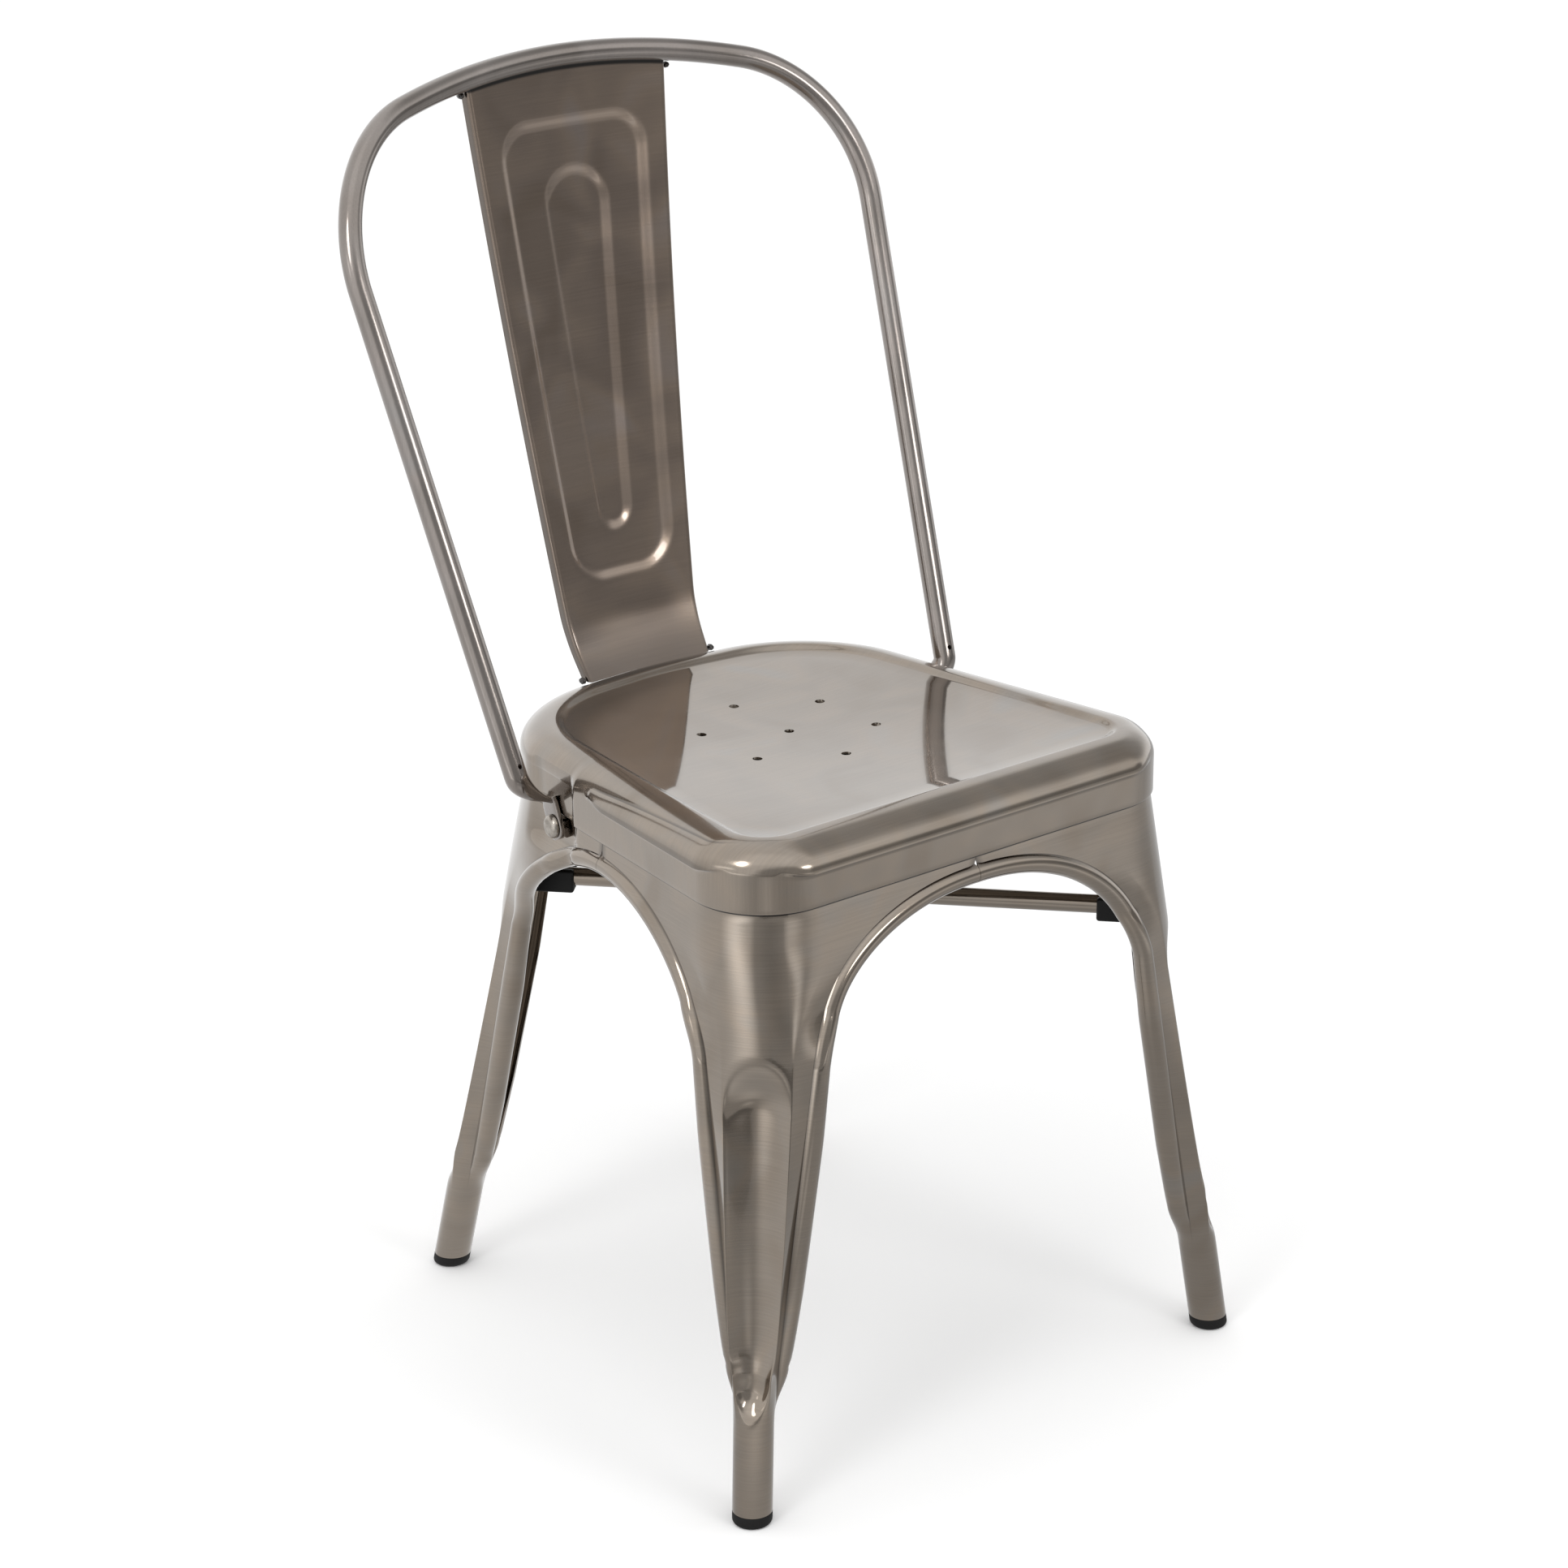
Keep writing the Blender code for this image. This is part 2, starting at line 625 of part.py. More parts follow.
    def shin_bead(self, sign, z):
        """Direction from the crease across the bead, and the bead's radius, below the arch."""
        rise = min(max((z - ANKLE_HEIGHT) / (KNEE_Z - ANKLE_HEIGHT), 0.0), 1.0)
        turn = math.radians(ANKLE_BEAD_ANGLE + (KNEE_BEAD_ANGLE - ANKLE_BEAD_ANGLE) * rise**BEAD_TURN_POWER)
        x, y = self.along * sign * math.sin(turn) - self.out * math.cos(turn)
        radii = (ANKLE_BEAD_RADIUS, SHIN_BEAD_RADIUS, SHIN_BEAD_RADIUS, BEAD_RADIUS)
        radius = float(np.interp(rise, (0, 0.25, 0.75, 1), radii))
        return np.array((x, y, 0.0)), radius

    def along_seam(self, side):
        normal = OUTLINE.normal(self.seams[side])
        return (1, -1)[side] * np.array((-normal[1], normal[0]))


LEGS = (
    Leg("front", (0.0, OUTLINE.seam), OUTLINE.front_corner, (FRONT_FOOT_HALF, -FRONT_FOOT_REACH), FRONT_LEG_SHIFT,
        (FRONT_ARCH_DROP, SIDE_ARCH_DROP), (FRONT_ARCH_POWER, SIDE_ARCH_POWER)),
    Leg("rear", (OUTLINE.seam, OUTLINE.end), OUTLINE.rear_corner, (REAR_FOOT_HALF, REAR_FOOT_REACH), REAR_LEG_SHIFT,
        (SIDE_ARCH_DROP, REAR_ARCH_DROP), (SIDE_ARCH_POWER, REAR_ARCH_POWER)),
)
SIDES = (("left", -1), ("right", 1))


def leg_mesh(leg, side):
    """Points and outward faces of a leg's outer skin on one side of the chair."""
    skin, strips = leg.skin(wing=2, chord=6, bead=5)
    rows, columns = skin.shape[:2]
    first = next(i for i, row in enumerate(leg.rows()) if row[2] > 0) - 1
    points = [p for row in skin for p in row]
    faces = []
    for i in range(rows - 1):
        for j in range(columns - 1):
            k = i * columns + j
            faces.append((k, k + columns, k + columns + 1, k + 1))
    for which, strip in enumerate(strips):
        index = {}
        for i in range(first, rows):
            index[i, 0] = i * columns + (0 if which == 0 else columns - 1)
            for j in range(1, strip.shape[1]):
                index[i, j] = len(points)
                points.append(strip[i, j])
        for i in range(first, rows - 1):
            for j in range(strip.shape[1] - 1):
                face = (index[i, j], index[i, j + 1], index[i + 1, j + 1], index[i + 1, j])
                faces.append(face if which == 0 else face[::-1])
    if side < 0:
        points = [(-x, y, z) for x, y, z in points]
        faces = [face[::-1] for face in faces]
    return points, faces


def build_legs(root):
    made = {}
    for leg in LEGS:
        for side_name, side in SIDES:
            name = "%s_%s_leg" % (leg.name, side_name)
            points, faces = leg_mesh(leg, side)
            made[name] = piece(name, points, faces, STEEL, root)
            thicken(made[name], SHEET)
    return made


def foot_cap(leg, side_name, side, root):
    """A moulded cap whose stem plugs the foot tube, sheared to follow the leaning tube."""
    stem = FOOT_RADIUS - SHEET - CAP_STEM_SLACK
    profile = (
        (0, 0), (FOOT_RADIUS - CAP_EDGE, 0), (FOOT_RADIUS, CAP_EDGE), (FOOT_RADIUS, CAP_HEIGHT),
        (stem, CAP_HEIGHT), (stem, CAP_HEIGHT + CAP_STEM_LENGTH), (0, CAP_HEIGHT + CAP_STEM_LENGTH),
    )
    name = "%s_%s_foot_cap" % (leg.name, side_name)
    made = turned(name, profile, (0, 0, 0), UP, 20, RUBBER, root)
    for vertex in made.data.vertices:
        x, y = leg.axis(vertex.co.z)
        vertex.co.x += side * x
        vertex.co.y += y
    return made


# Back hoop


def hoop_plane_y(z):
    return HOOP_FOOT_Y + HOOP_RAKE * (z - SEAT_HEIGHT - HOOP_FOOT_RISE)


def hoop_half():
    """Right half of the hoop's middle line from the foot of its straight up to the crown, with the crown's centre."""
    top = SEAT_HEIGHT + HOOP_RISE
    start = np.array((HOOP_FOOT_HALF, SEAT_HEIGHT + HOOP_FOOT_RISE))
    up = unit((HOOP_SPLAY, 1.0))
    inward = np.array((-up[1], up[0]))
    crown = np.array((0.0, top - HOOP_CROWN_RADIUS))
    gap = HOOP_CROWN_RADIUS - HOOP_SHOULDER_RADIUS
    base = start + inward * HOOP_SHOULDER_RADIUS - crown
    along = float(np.dot(base, up))
    run = -along + math.sqrt(along**2 - float(np.dot(base, base)) + gap**2)
    centre = start + up * run + inward * HOOP_SHOULDER_RADIUS
    points = [start + up * run * k / 3 for k in range(3)]
    from_angle = math.atan2(-inward[1], -inward[0])
    to_angle = math.atan2(centre[1] - crown[1], centre[0] - crown[0])
    for angle in np.linspace(from_angle, to_angle, 11):
        points.append(centre + HOOP_SHOULDER_RADIUS * np.array((math.cos(angle), math.sin(angle))))
    for angle in np.linspace(to_angle, math.pi / 2, 6)[1:]:
        points.append(crown + HOOP_CROWN_RADIUS * np.array((math.cos(angle), math.sin(angle))))
    widest = centre[0] + HOOP_SHOULDER_RADIUS
    path = []
    for x, z in points:
        bow = HOOP_BOW * (1 - (x / widest) ** 2) if z > start[1] + up[1] * run else 0.0
        path.append(np.array((x, hoop_plane_y(z) + bow, z)))
    return path


def tab_frame():
    """Wall behind the right-hand tab at its bolt, the wall's outward normal, and the way up the leaning tab."""
    x, y = OUTLINE.normal(OUTLINE.tab)
    wall = OUTLINE.place(OUTLINE.tab) - np.array((x, y)) * POCKET_DEPTH
    lean = math.radians(TAB_LEAN)
    up = np.array((-y * math.sin(lean), x * math.sin(lean), math.cos(lean)))
    return np.array((*wall, SEAT_HEIGHT - BOLT_DROP)), np.array((x, y, 0.0)), up


def hoop_stations():
    """Middle line from the right-hand tab to the crown, each with its half thickness and half width."""
    wall, normal, up = tab_frame()
    thin = TAB_THICKNESS / 2
    middle = wall + normal * (FIT + thin)
    stations = []
    for rise, wide in ((-TAB_END, 0.55), (-TAB_END / 2, 0.95), (0, 1), (TAB_RISE, 1)):
        stations.append((middle + up * rise, thin, TAB_HALF_WIDTH * wide))
    straight = hoop_half()
    start = stations[-1][0]
    end = straight[0]
    lift = unit(normal + up / 2) * HOOP_BEND
    pull = unit(straight[1] - straight[0]) * HOOP_BEND
    bends = 8
    for k in range(1, bends):
        t = k / bends
        spot = (1 - t) ** 3 * start + 3 * (1 - t) ** 2 * t * (start + lift)
        spot = spot + 3 * (1 - t) * t**2 * (end - pull) + t**3 * end
        grown = smooth((t - 0.10) / 0.80)
        stations.append((spot, thin + (HOOP_RADIUS - thin) * grown,
                         TAB_HALF_WIDTH + (HOOP_RADIUS - TAB_HALF_WIDTH) * grown))
    stations += [(spot, HOOP_RADIUS, HOOP_RADIUS) for spot in straight]
    return stations


def sweep(stations, sides, taper):
    """Points and faces of a tube through stations; its wide axis lies along Y, turned by taper at the two feet."""
    points = []
    count = len(stations)
    widest = max(abs(s[0][0]) for s in stations)
    for i, (spot, thick, wide) in enumerate(stations):
        ahead = unit(stations[min(i + 1, count - 1)][0] - stations[max(i - 1, 0)][0])
        lengthways = np.array((-taper * spot[0] / widest, 1.0, 0.0))
        broad = unit(lengthways - ahead * np.dot(lengthways, ahead))
        thin_way = np.cross(ahead, broad)
        for k in range(sides):
            angle = 2 * math.pi * (k + 0.5) / sides
            points.append(spot + broad * wide * math.cos(angle) + thin_way * thick * math.sin(angle))
    faces = [tuple(range(sides))[::-1], tuple(range((count - 1) * sides, count * sides))]
    for i in range(count - 1):
        for k in range(sides):
            n = (k + 1) % sides
            faces.append((i * sides + k, i * sides + n, (i + 1) * sides + n, (i + 1) * sides + k))
    return points, faces


def back_hoop(root):
    half = hoop_stations()
    mirrored = [(spot * (-1, 1, 1), thick, wide) for spot, thick, wide in half[-2::-1]]
    normal = tab_frame()[1]
    taper = normal[1] / normal[0] * max(s[0][0] for s in half) / half[0][0][0]
    points, faces = sweep(half + mirrored, 12, taper)
    made = piece("back_hoop", points, faces, STEEL, root)
    hollow = [s for s in half + mirrored if s[1] == HOOP_RADIUS]
    bore = [(spot, HOOP_RADIUS - HOOP_WALL, HOOP_RADIUS - HOOP_WALL) for spot, _, _ in hollow]
    points, faces = sweep(bore, 8, 0)
    cut(made, piece("hoop_bore_cutter", points, faces, STEEL, root))
    for side_name, side in SIDES:
        spot = hollow[0][0] * (side, 1, 1) + np.array((0, 0, HOOP_RADIUS))
        low = spot - np.array((0, 2 * HOOP_RADIUS, 0))
        cut(made, rod("hoop_vent_cutter_" + side_name, low, spot, VENT_RADIUS, 8, STEEL, root))
    return made


def hoop_fasteners(side_name, side, root, drilled):
    """Domed bolt, washer and nut at one tab, and the hole they share."""
    wall, normal, _ = tab_frame()
    out = normal * (side, 1, 1)
    spot = wall * (side, 1, 1)
    head_seat = spot + out * (2 * FIT + TAB_THICKNESS)
    leg_inner = -(2 * SHEET + NEST)
    washer_top = leg_inner - FIT
    nut_top = washer_top - WASHER_THICKNESS - FIT
    shank_end = nut_top - NUT_HEIGHT - BOLT_SPARE
    length = 2 * FIT + TAB_THICKNESS - shank_end
    dome = BOLT_HEAD_HEIGHT
    profile = (
        (0, -length), (BOLT_RADIUS, -length), (BOLT_RADIUS, 0), (BOLT_HEAD_RADIUS, 0),
        (BOLT_HEAD_RADIUS * 0.93, dome * 0.45), (BOLT_HEAD_RADIUS * 0.6, dome * 0.85), (0, dome),
    )
    turned("hoop_bolt_" + side_name, profile, head_seat, out, 16, ZINC, root)
    bore = BOLT_RADIUS + FIT
    for name, radius, height, top, sides in (
        ("hoop_washer_", WASHER_RADIUS, WASHER_THICKNESS, washer_top, 16),
        ("hoop_nut_", NUT_RADIUS, NUT_HEIGHT, nut_top, 6),
    ):
        base = spot + out * (top - height)
        made = rod(name + side_name, base, base + out * height, radius, sides, ZINC, root)
        top_end = base + out * (height + SHEET)
        cut(made, rod(name + "cutter_" + side_name, base - out * SHEET, top_end, bore, 12, ZINC, root))
    start = spot - out * (NUT_HEIGHT + POCKET_DEPTH)
    end = head_seat + out * TAB_THICKNESS
    drill = rod("bolt_drill_" + side_name, start, end, bore, 12, ZINC, root)
    for target in drilled:
        cut(target, drill)


# Back splat


def hoop_crown(x):
    """Middle of the hoop's tube above a place on its crown."""
    z = SEAT_HEIGHT + HOOP_RISE - HOOP_CROWN_RADIUS + math.sqrt(HOOP_CROWN_RADIUS**2 - x**2)
    widest = max(p[0] for p in hoop_half())
    return hoop_plane_y(z) + HOOP_BOW * (1 - (x / widest) ** 2), z


def splat_bounds(x):
    """Lowest and highest level of the splat at x: on the rolled rim below, under the hoop's tube above."""
    bow = SPLAT_BOW * (1 - (x / SPLAT_FOOT_HALF) ** 2)
    y = SPLAT_FOOT_Y + bow
    foot = rim_level(OUTLINE.rear_y(x) - y) + 2 * FIT
    top = hoop_crown(x)[1] - HOOP_RADIUS - 2 * FIT
    return foot, top


def splat_y(z, foot, top, top_y):
    """Side view of the splat: a short leaning foot, a rounded kink and a long face that sags back a little."""
    kink = SEAT_HEIGHT + SPLAT_KINK_RISE
    below = (SPLAT_KINK_Y - SPLAT_FOOT_Y) / (kink - foot)
    above = (top_y - SPLAT_KINK_Y) / (top - kink)
    h = z - kink
    bend = SPLAT_KINK_ROUND
    if h <= -bend:
        y = SPLAT_KINK_Y + below * h
    elif h < bend:
        y = SPLAT_KINK_Y + below * h + (above - below) * (h + bend) ** 2 / (4 * bend)
    else:
        y = SPLAT_KINK_Y + above * h
    share = min(max(h / (top - kink), 0.0), 1.0)
    return y + 4 * SPLAT_SAG * share * (1 - share)


def emboss(x, z, top, foot, top_half, foot_half, corner):
    """Share of the pressed depth inside one tapered field with round corners."""
    middle = (top + foot) / 2
    half = foot_half + (top_half - foot_half) * min(max((z - foot) / (top - foot), 0), 1)
    corner = min(corner, half)
    px = abs(x) - (half - corner)
    pz = abs(z - middle) - ((top - foot) / 2 - corner)
    away = math.hypot(max(px, 0), max(pz, 0)) + min(max(px, pz), 0) - corner
    return smooth(0.5 - away / EMBOSS_RAMP)


def splat_point(across, up):
    """Front face of the splat at a share across (-1 to 1) and up (0 to 1)."""
    foot = splat_bounds(SPLAT_FOOT_HALF * across)[0]
    top = splat_bounds(SPLAT_TOP_HALF * across)[1]
    z = foot + (top - foot) * up
    x = (SPLAT_FOOT_HALF + (SPLAT_TOP_HALF - SPLAT_FOOT_HALF) * up) * across
    edge_foot = splat_bounds(SPLAT_FOOT_HALF)[0]
    edge_y, edge_z = hoop_crown(SPLAT_TOP_HALF)
    y = splat_y(z, edge_foot, edge_z, edge_y - SHEET / 2) + SPLAT_BOW * (1 - across**2)
    crown = splat_bounds(0)[1]
    low = splat_bounds(0)[0]
    pressed = emboss(x, z, crown - OUTER_EMBOSS_TOP, low + OUTER_EMBOSS_FOOT,
                     OUTER_EMBOSS_TOP_HALF, OUTER_EMBOSS_FOOT_HALF, OUTER_EMBOSS_ROUND)
    pressed += emboss(x, z, crown - INNER_EMBOSS_TOP, low + INNER_EMBOSS_FOOT,
                      INNER_EMBOSS_TOP_HALF, INNER_EMBOSS_FOOT_HALF, INNER_EMBOSS_TOP_HALF)
    return np.array((x, y + EMBOSS_DEPTH * pressed, z))


def back_splat(root):
    shares = (0, 0.12, 0.24, 0.38, 0.52, 0.62, 0.74, 0.86, 1.0)
    across = [-s for s in shares[:0:-1]] + list(shares)
    levels = (0, 0.035, 0.08, 0.125, 0.16, 0.19, 0.22, 0.255, 0.30, 0.40, 0.50, 0.60, 0.70,
              0.76, 0.80, 0.83, 0.86, 0.885, 0.91, 0.935, 0.96, 1.0)
    points = []
    for up in levels:
        row = [splat_point(share, up) for share in across]
        back = np.array((0, FLANGE_DEPTH, 0))
        points += [row[0] + back] + row + [row[-1] + back]
    columns = len(across) + 2
    faces = []
    for i in range(len(levels) - 1):
        for j in range(columns - 1):
            k = i * columns + j
            faces.append((k, k + 1, k + columns + 1, k + columns))
    made = piece("back_splat", points, faces, STEEL, root)
    thicken(made, SHEET)
    return made


def splat_welds(root):
    """Weld beads where the splat's corners meet the hoop above and the rolled rim below."""
    for side_name, side in SIDES:
        edge = splat_point(1, 1)
        beside = WELD_RADIUS + 2 * FIT
        under = hoop_crown(edge[0] + beside)[1] - HOOP_RADIUS - WELD_RADIUS - 3 * FIT
        place = np.array((edge[0] + beside, edge[1] + FLANGE_DEPTH / 2, under))
        weld("splat_top_weld_" + side_name, place * (side, 1, 1), root)
        edge = splat_point(1, 0)
        x = edge[0] + beside + FIT
        y = edge[1] + FLANGE_DEPTH / 2
        inset = OUTLINE.rear_y(x) - y
        nearest = max(rim_level(inset + k * WELD_LENGTH / 2) for k in (-1, 0, 1))
        place = np.array((x, y, nearest + WELD_RADIUS + 2 * FIT))
        weld("splat_foot_weld_" + side_name, place * (side, 1, 1), root)


def weld(name, place, root):
    half = WELD_LENGTH / 2
    shoulder = 0.7 * WELD_RADIUS
    run = 0.75 * half
    profile = ((0, -half), (shoulder, -run), (WELD_RADIUS, 0), (shoulder, run), (0, half))
    return turned(name, profile, place, (0, 1, 0), 10, SCORCH, root)


# Brace


def brace_end(leg, side, drop):
    """Where a brace bar stops short of the inner face of a leg's corner."""
    z = SEAT_HEIGHT - drop
    steepness = float(np.linalg.norm(leg.lean))
    hollow = BRACE_RADIUS**2 / (2 * FRONT_CORNER_RADIUS)
    reach = CORNER_REACH - SHEET - FIT - hollow - BRACE_RADIUS * steepness
    x, y, _ = leg.local(0, reach, z)
    return np.array((side * x, y, z))


def tube(name, start, end, root):
    """An open-ended straight tube."""
    run = Vector(end) - Vector(start)
    inner = BRACE_RADIUS - BRACE_WALL
    profile = ((inner, 0), (BRACE_RADIUS, 0), (BRACE_RADIUS, run.length), (inner, run.length), (inner, 0))
    made = turned(name, profile, start, run, 16, STEEL, root)
    shape = bmesh.new()
    shape.from_mesh(made.data)
    bmesh.ops.remove_doubles(shape, verts=shape.verts, dist=1e-6)
    bmesh.ops.recalc_face_normals(shape, faces=shape.faces)
    shape.to_mesh(made.data)
    shape.free()
    return made


def bumper(name, end, inward, root):
    """A saddle clipped round a bar: an extruded outline with a bore and a mouth above."""
    inward = Vector(inward).normalized()
    aside = UP.cross(inward).normalized()
    above = inward.cross(aside)
    bore = BRACE_RADIUS + FIT
    mouth = math.asin(BUMPER_MOUTH_HALF / bore)
    lip = bore * math.cos(mouth) + BUMPER_LIP
    low = -BRACE_RADIUS - BUMPER_HANG
    trim = 0.25 * BUMPER_HALF_WIDTH
    wide = BUMPER_HALF_WIDTH
    outline = [(BUMPER_MOUTH_HALF, lip), (wide - trim, lip), (wide, lip - trim), (wide, low + trim), (wide - trim, low)]
    outline = [(-x, z) for x, z in outline] + outline[::-1]
    turns = 14
    for k in range(turns + 1):
        angle = mouth + (2 * math.pi - 2 * mouth) * k / turns
        outline.append((bore * math.sin(angle), bore * math.cos(angle)))
    points = []
    for along in (BUMPER_SETBACK, BUMPER_SETBACK + BUMPER_LENGTH):
        for x, z in outline:
            points.append(Vector(end) + inward * along + aside * x + above * z)
    count = len(outline)
    faces = [tuple(range(count)), tuple(range(2 * count - 1, count - 1, -1))]
    for k in range(count):
        n = (k + 1) % count
        faces.append((k, count + k, count + n, n))
    made = piece(name, points, faces, PLASTIC, root)
    shape = bmesh.new()
    shape.from_mesh(made.data)
    bmesh.ops.recalc_face_normals(shape, faces=shape.faces)
    shape.to_mesh(made.data)
    shape.free()
    return made


def build_brace(root):
    front, rear = LEGS
    through = (brace_end(front, 1, BRACE_FRONT_DROP), brace_end(rear, -1, BRACE_REAR_DROP))
    tube("long_brace_bar", *through, root)
    across = (brace_end(front, -1, BRACE_FRONT_DROP), brace_end(rear, 1, BRACE_REAR_DROP))
    run = unit(across[1] - across[0])
    other = unit(through[1] - through[0])
    share = across[0][0] / (across[0][0] - across[1][0])
    middle = across[0] + (across[1] - across[0]) * share
    square = abs(float(np.dot(run, other)))
    clear = (BRACE_RADIUS + FIT + BRACE_RADIUS * square) / math.sqrt(1 - square**2)
    tube("front_brace_bar", across[0], middle - run * clear, root)
    tube("rear_brace_bar", across[1], middle + run * clear, root)
    ends = (("front_right", through[0], middle), ("rear_left", through[1], middle),
            ("front_left", across[0], middle), ("rear_right", across[1], middle))
    for name, end, inner in ends:
        bumper(name + "_brace_bumper", end, inner - end, root)


def main():
    clear_scene()
    root = bpy.data.objects.new("chair_frame", None)
    bpy.context.scene.collection.objects.link(root)
    crown_y = hoop_crown(0)[0] + HOOP_RADIUS
    front_y = FRONT_FOOT_REACH + FOOT_RADIUS
    root.location = (0, (front_y - crown_y) / 2, 0)
    seat_pan(root)
    legs = build_legs(root)
    for leg in LEGS:
        for side_name, side in SIDES:
            foot_cap(leg, side_name, side, root)
    hoop = back_hoop(root)
    for side_name, side in SIDES:
        hoop_fasteners(side_name, side, root, (hoop, legs["rear_%s_leg" % side_name]))
    back_splat(root)
    splat_welds(root)
    build_brace(root)


main()
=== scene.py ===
import math

import bpy
import numpy as np
from mathutils import Matrix, Vector


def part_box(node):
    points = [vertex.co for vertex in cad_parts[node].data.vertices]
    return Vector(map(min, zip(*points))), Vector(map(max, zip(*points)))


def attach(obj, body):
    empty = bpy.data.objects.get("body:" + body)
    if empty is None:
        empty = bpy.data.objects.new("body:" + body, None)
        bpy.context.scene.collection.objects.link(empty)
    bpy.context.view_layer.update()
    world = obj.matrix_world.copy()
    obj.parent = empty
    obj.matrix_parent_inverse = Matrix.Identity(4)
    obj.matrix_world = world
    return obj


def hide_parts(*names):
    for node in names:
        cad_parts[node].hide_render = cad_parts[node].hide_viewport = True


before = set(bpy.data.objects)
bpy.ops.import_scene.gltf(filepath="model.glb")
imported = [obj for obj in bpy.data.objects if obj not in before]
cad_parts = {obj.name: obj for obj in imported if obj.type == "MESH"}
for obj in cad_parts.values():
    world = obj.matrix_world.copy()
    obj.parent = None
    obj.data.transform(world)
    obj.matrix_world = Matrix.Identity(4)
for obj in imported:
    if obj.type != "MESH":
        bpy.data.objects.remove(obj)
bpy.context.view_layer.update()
print("frame loaded,", len(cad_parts), "nodes")

# One sheet gauge for every pressing, the play between pieces that touch and between pressings that nest,
# and how near points are merged
stock = {"sheet": 0.0012, "fit": 0.0003, "nest": 0.0008, "weld": 0.00001}
sides = (("left", -1), ("right", 1))


# Working with the mesh tools

def only(piece):
    if bpy.context.mode != "OBJECT":
        bpy.ops.object.mode_set(mode="OBJECT")
    bpy.ops.object.select_all(action="DESELECT")
    piece.select_set(True)
    bpy.context.view_layer.objects.active = piece
    return piece


def editAll(piece):
    only(piece)
    bpy.ops.object.mode_set(mode="EDIT")
    bpy.ops.mesh.select_all(action="SELECT")


def applyModifier(piece, kind, **settings):
    only(piece)
    modifier = piece.modifiers.new(kind.lower(), kind)
    for key, value in settings.items():
        setattr(modifier, key, value)
    bpy.ops.object.modifier_apply(modifier=modifier.name)


def cutWith(piece, cutter):
    applyModifier(piece, "BOOLEAN", operation="DIFFERENCE", solver="EXACT", object=cutter)
    bpy.data.objects.remove(cutter)


def startFrom(primitive, name, **settings):
    bpy.ops.object.select_all(action="DESELECT")
    primitive(**settings)
    piece = bpy.context.active_object
    piece.name = name
    piece.data.name = name
    return piece


def pickFaces(piece, wanted):
    # leaves the piece in edit mode with only the wanted faces selected
    editAll(piece)
    bpy.ops.mesh.select_mode(type="FACE")
    bpy.ops.mesh.select_all(action="DESELECT")
    bpy.ops.object.mode_set(mode="OBJECT")
    for face in piece.data.polygons:
        face.select = wanted(face)
    bpy.ops.object.mode_set(mode="EDIT")


def settle(piece):
    # bakes the object's place into its mesh
    only(piece)
    bpy.ops.object.transform_apply(location=True, rotation=True, scale=True)
    return piece


def rodAlong(name, start, end, radius, vertices):
    run = Vector(end) - Vector(start)
    piece = startFrom(bpy.ops.mesh.primitive_cylinder_add, name,
                      vertices=vertices, radius=radius, depth=run.length)
    piece.rotation_mode = "QUATERNION"
    piece.rotation_quaternion = run.to_track_quat("Z", "Y")
    piece.location = (Vector(start) + Vector(end)) / 2
    return settle(piece)


def pressSheet(name, grid, keep=None, **marks):
    # a flat blank with one point for each point of grid, pressed to it; keep marks the faces to leave in,
    # and marks hold what the finish reads: how far each point is darkened, mostly as painted shade, and how
    # far buffed each point is
    rows, columns = grid.shape[:2]
    piece = startFrom(bpy.ops.mesh.primitive_grid_add, name, size=1,
                      x_subdivisions=columns - 1, y_subdivisions=rows - 1)
    flat = np.zeros(len(piece.data.vertices) * 3)
    piece.data.vertices.foreach_get("co", flat)
    flat = flat.reshape(-1, 3) + 0.5
    across = np.rint(flat[:, 0] * (columns - 1)).astype(int)
    down = np.rint(flat[:, 1] * (rows - 1)).astype(int)
    piece.data.vertices.foreach_set("co", grid[down, across].ravel())
    piece.data.update()
    for mark, amounts in marks.items():
        piece.data.attributes.new(mark, "FLOAT", "POINT").data.foreach_set("value", amounts[down, across])
    if keep is not None:
        def trimmed(face):
            corners = list(face.vertices)
            return not keep[down[corners].min(), across[corners].min()]

        pickFaces(piece, trimmed)
        bpy.ops.mesh.delete(type="FACE")
        bpy.ops.object.mode_set(mode="OBJECT")
    return piece


def faceAway(piece, inside):
    # turns an open sheet so that most faces point away from the points of inside, one for each face centre
    middles = np.array([face.center for face in piece.data.polygons])
    normals = np.array([face.normal for face in piece.data.polygons])
    areas = np.array([face.area for face in piece.data.polygons])
    if ((normals * (middles - inside(middles))).sum(1) * areas).sum() < 0:
        editAll(piece)
        bpy.ops.mesh.flip_normals()
        bpy.ops.object.mode_set(mode="OBJECT")


def closeLoop(piece, fillEnds):
    # merges the blank's two long edges where they meet, and fills the open ends if asked
    editAll(piece)
    bpy.ops.mesh.remove_doubles(threshold=stock["weld"])
    if fillEnds:
        bpy.ops.mesh.select_all(action="DESELECT")
        bpy.ops.mesh.select_mode(type="EDGE")
        bpy.ops.mesh.select_non_manifold(extend=False)
        bpy.ops.mesh.edge_face_add()
        bpy.ops.mesh.select_all(action="SELECT")
        bpy.ops.mesh.normals_make_consistent(inside=False)
    bpy.ops.object.mode_set(mode="OBJECT")


def finishPiece(piece, node, finish, angle=32):
    # seats a piece in the chair's frame: everything is drawn from the seat's middle drain hole
    piece.data.transform(Matrix.Translation((0, holeY, 0)))
    only(piece)
    bpy.ops.object.shade_smooth_by_angle(angle=math.radians(angle))
    piece.data.materials.clear()
    piece.data.materials.append(finish)
    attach(piece, "root")
    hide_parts(node)
    return piece


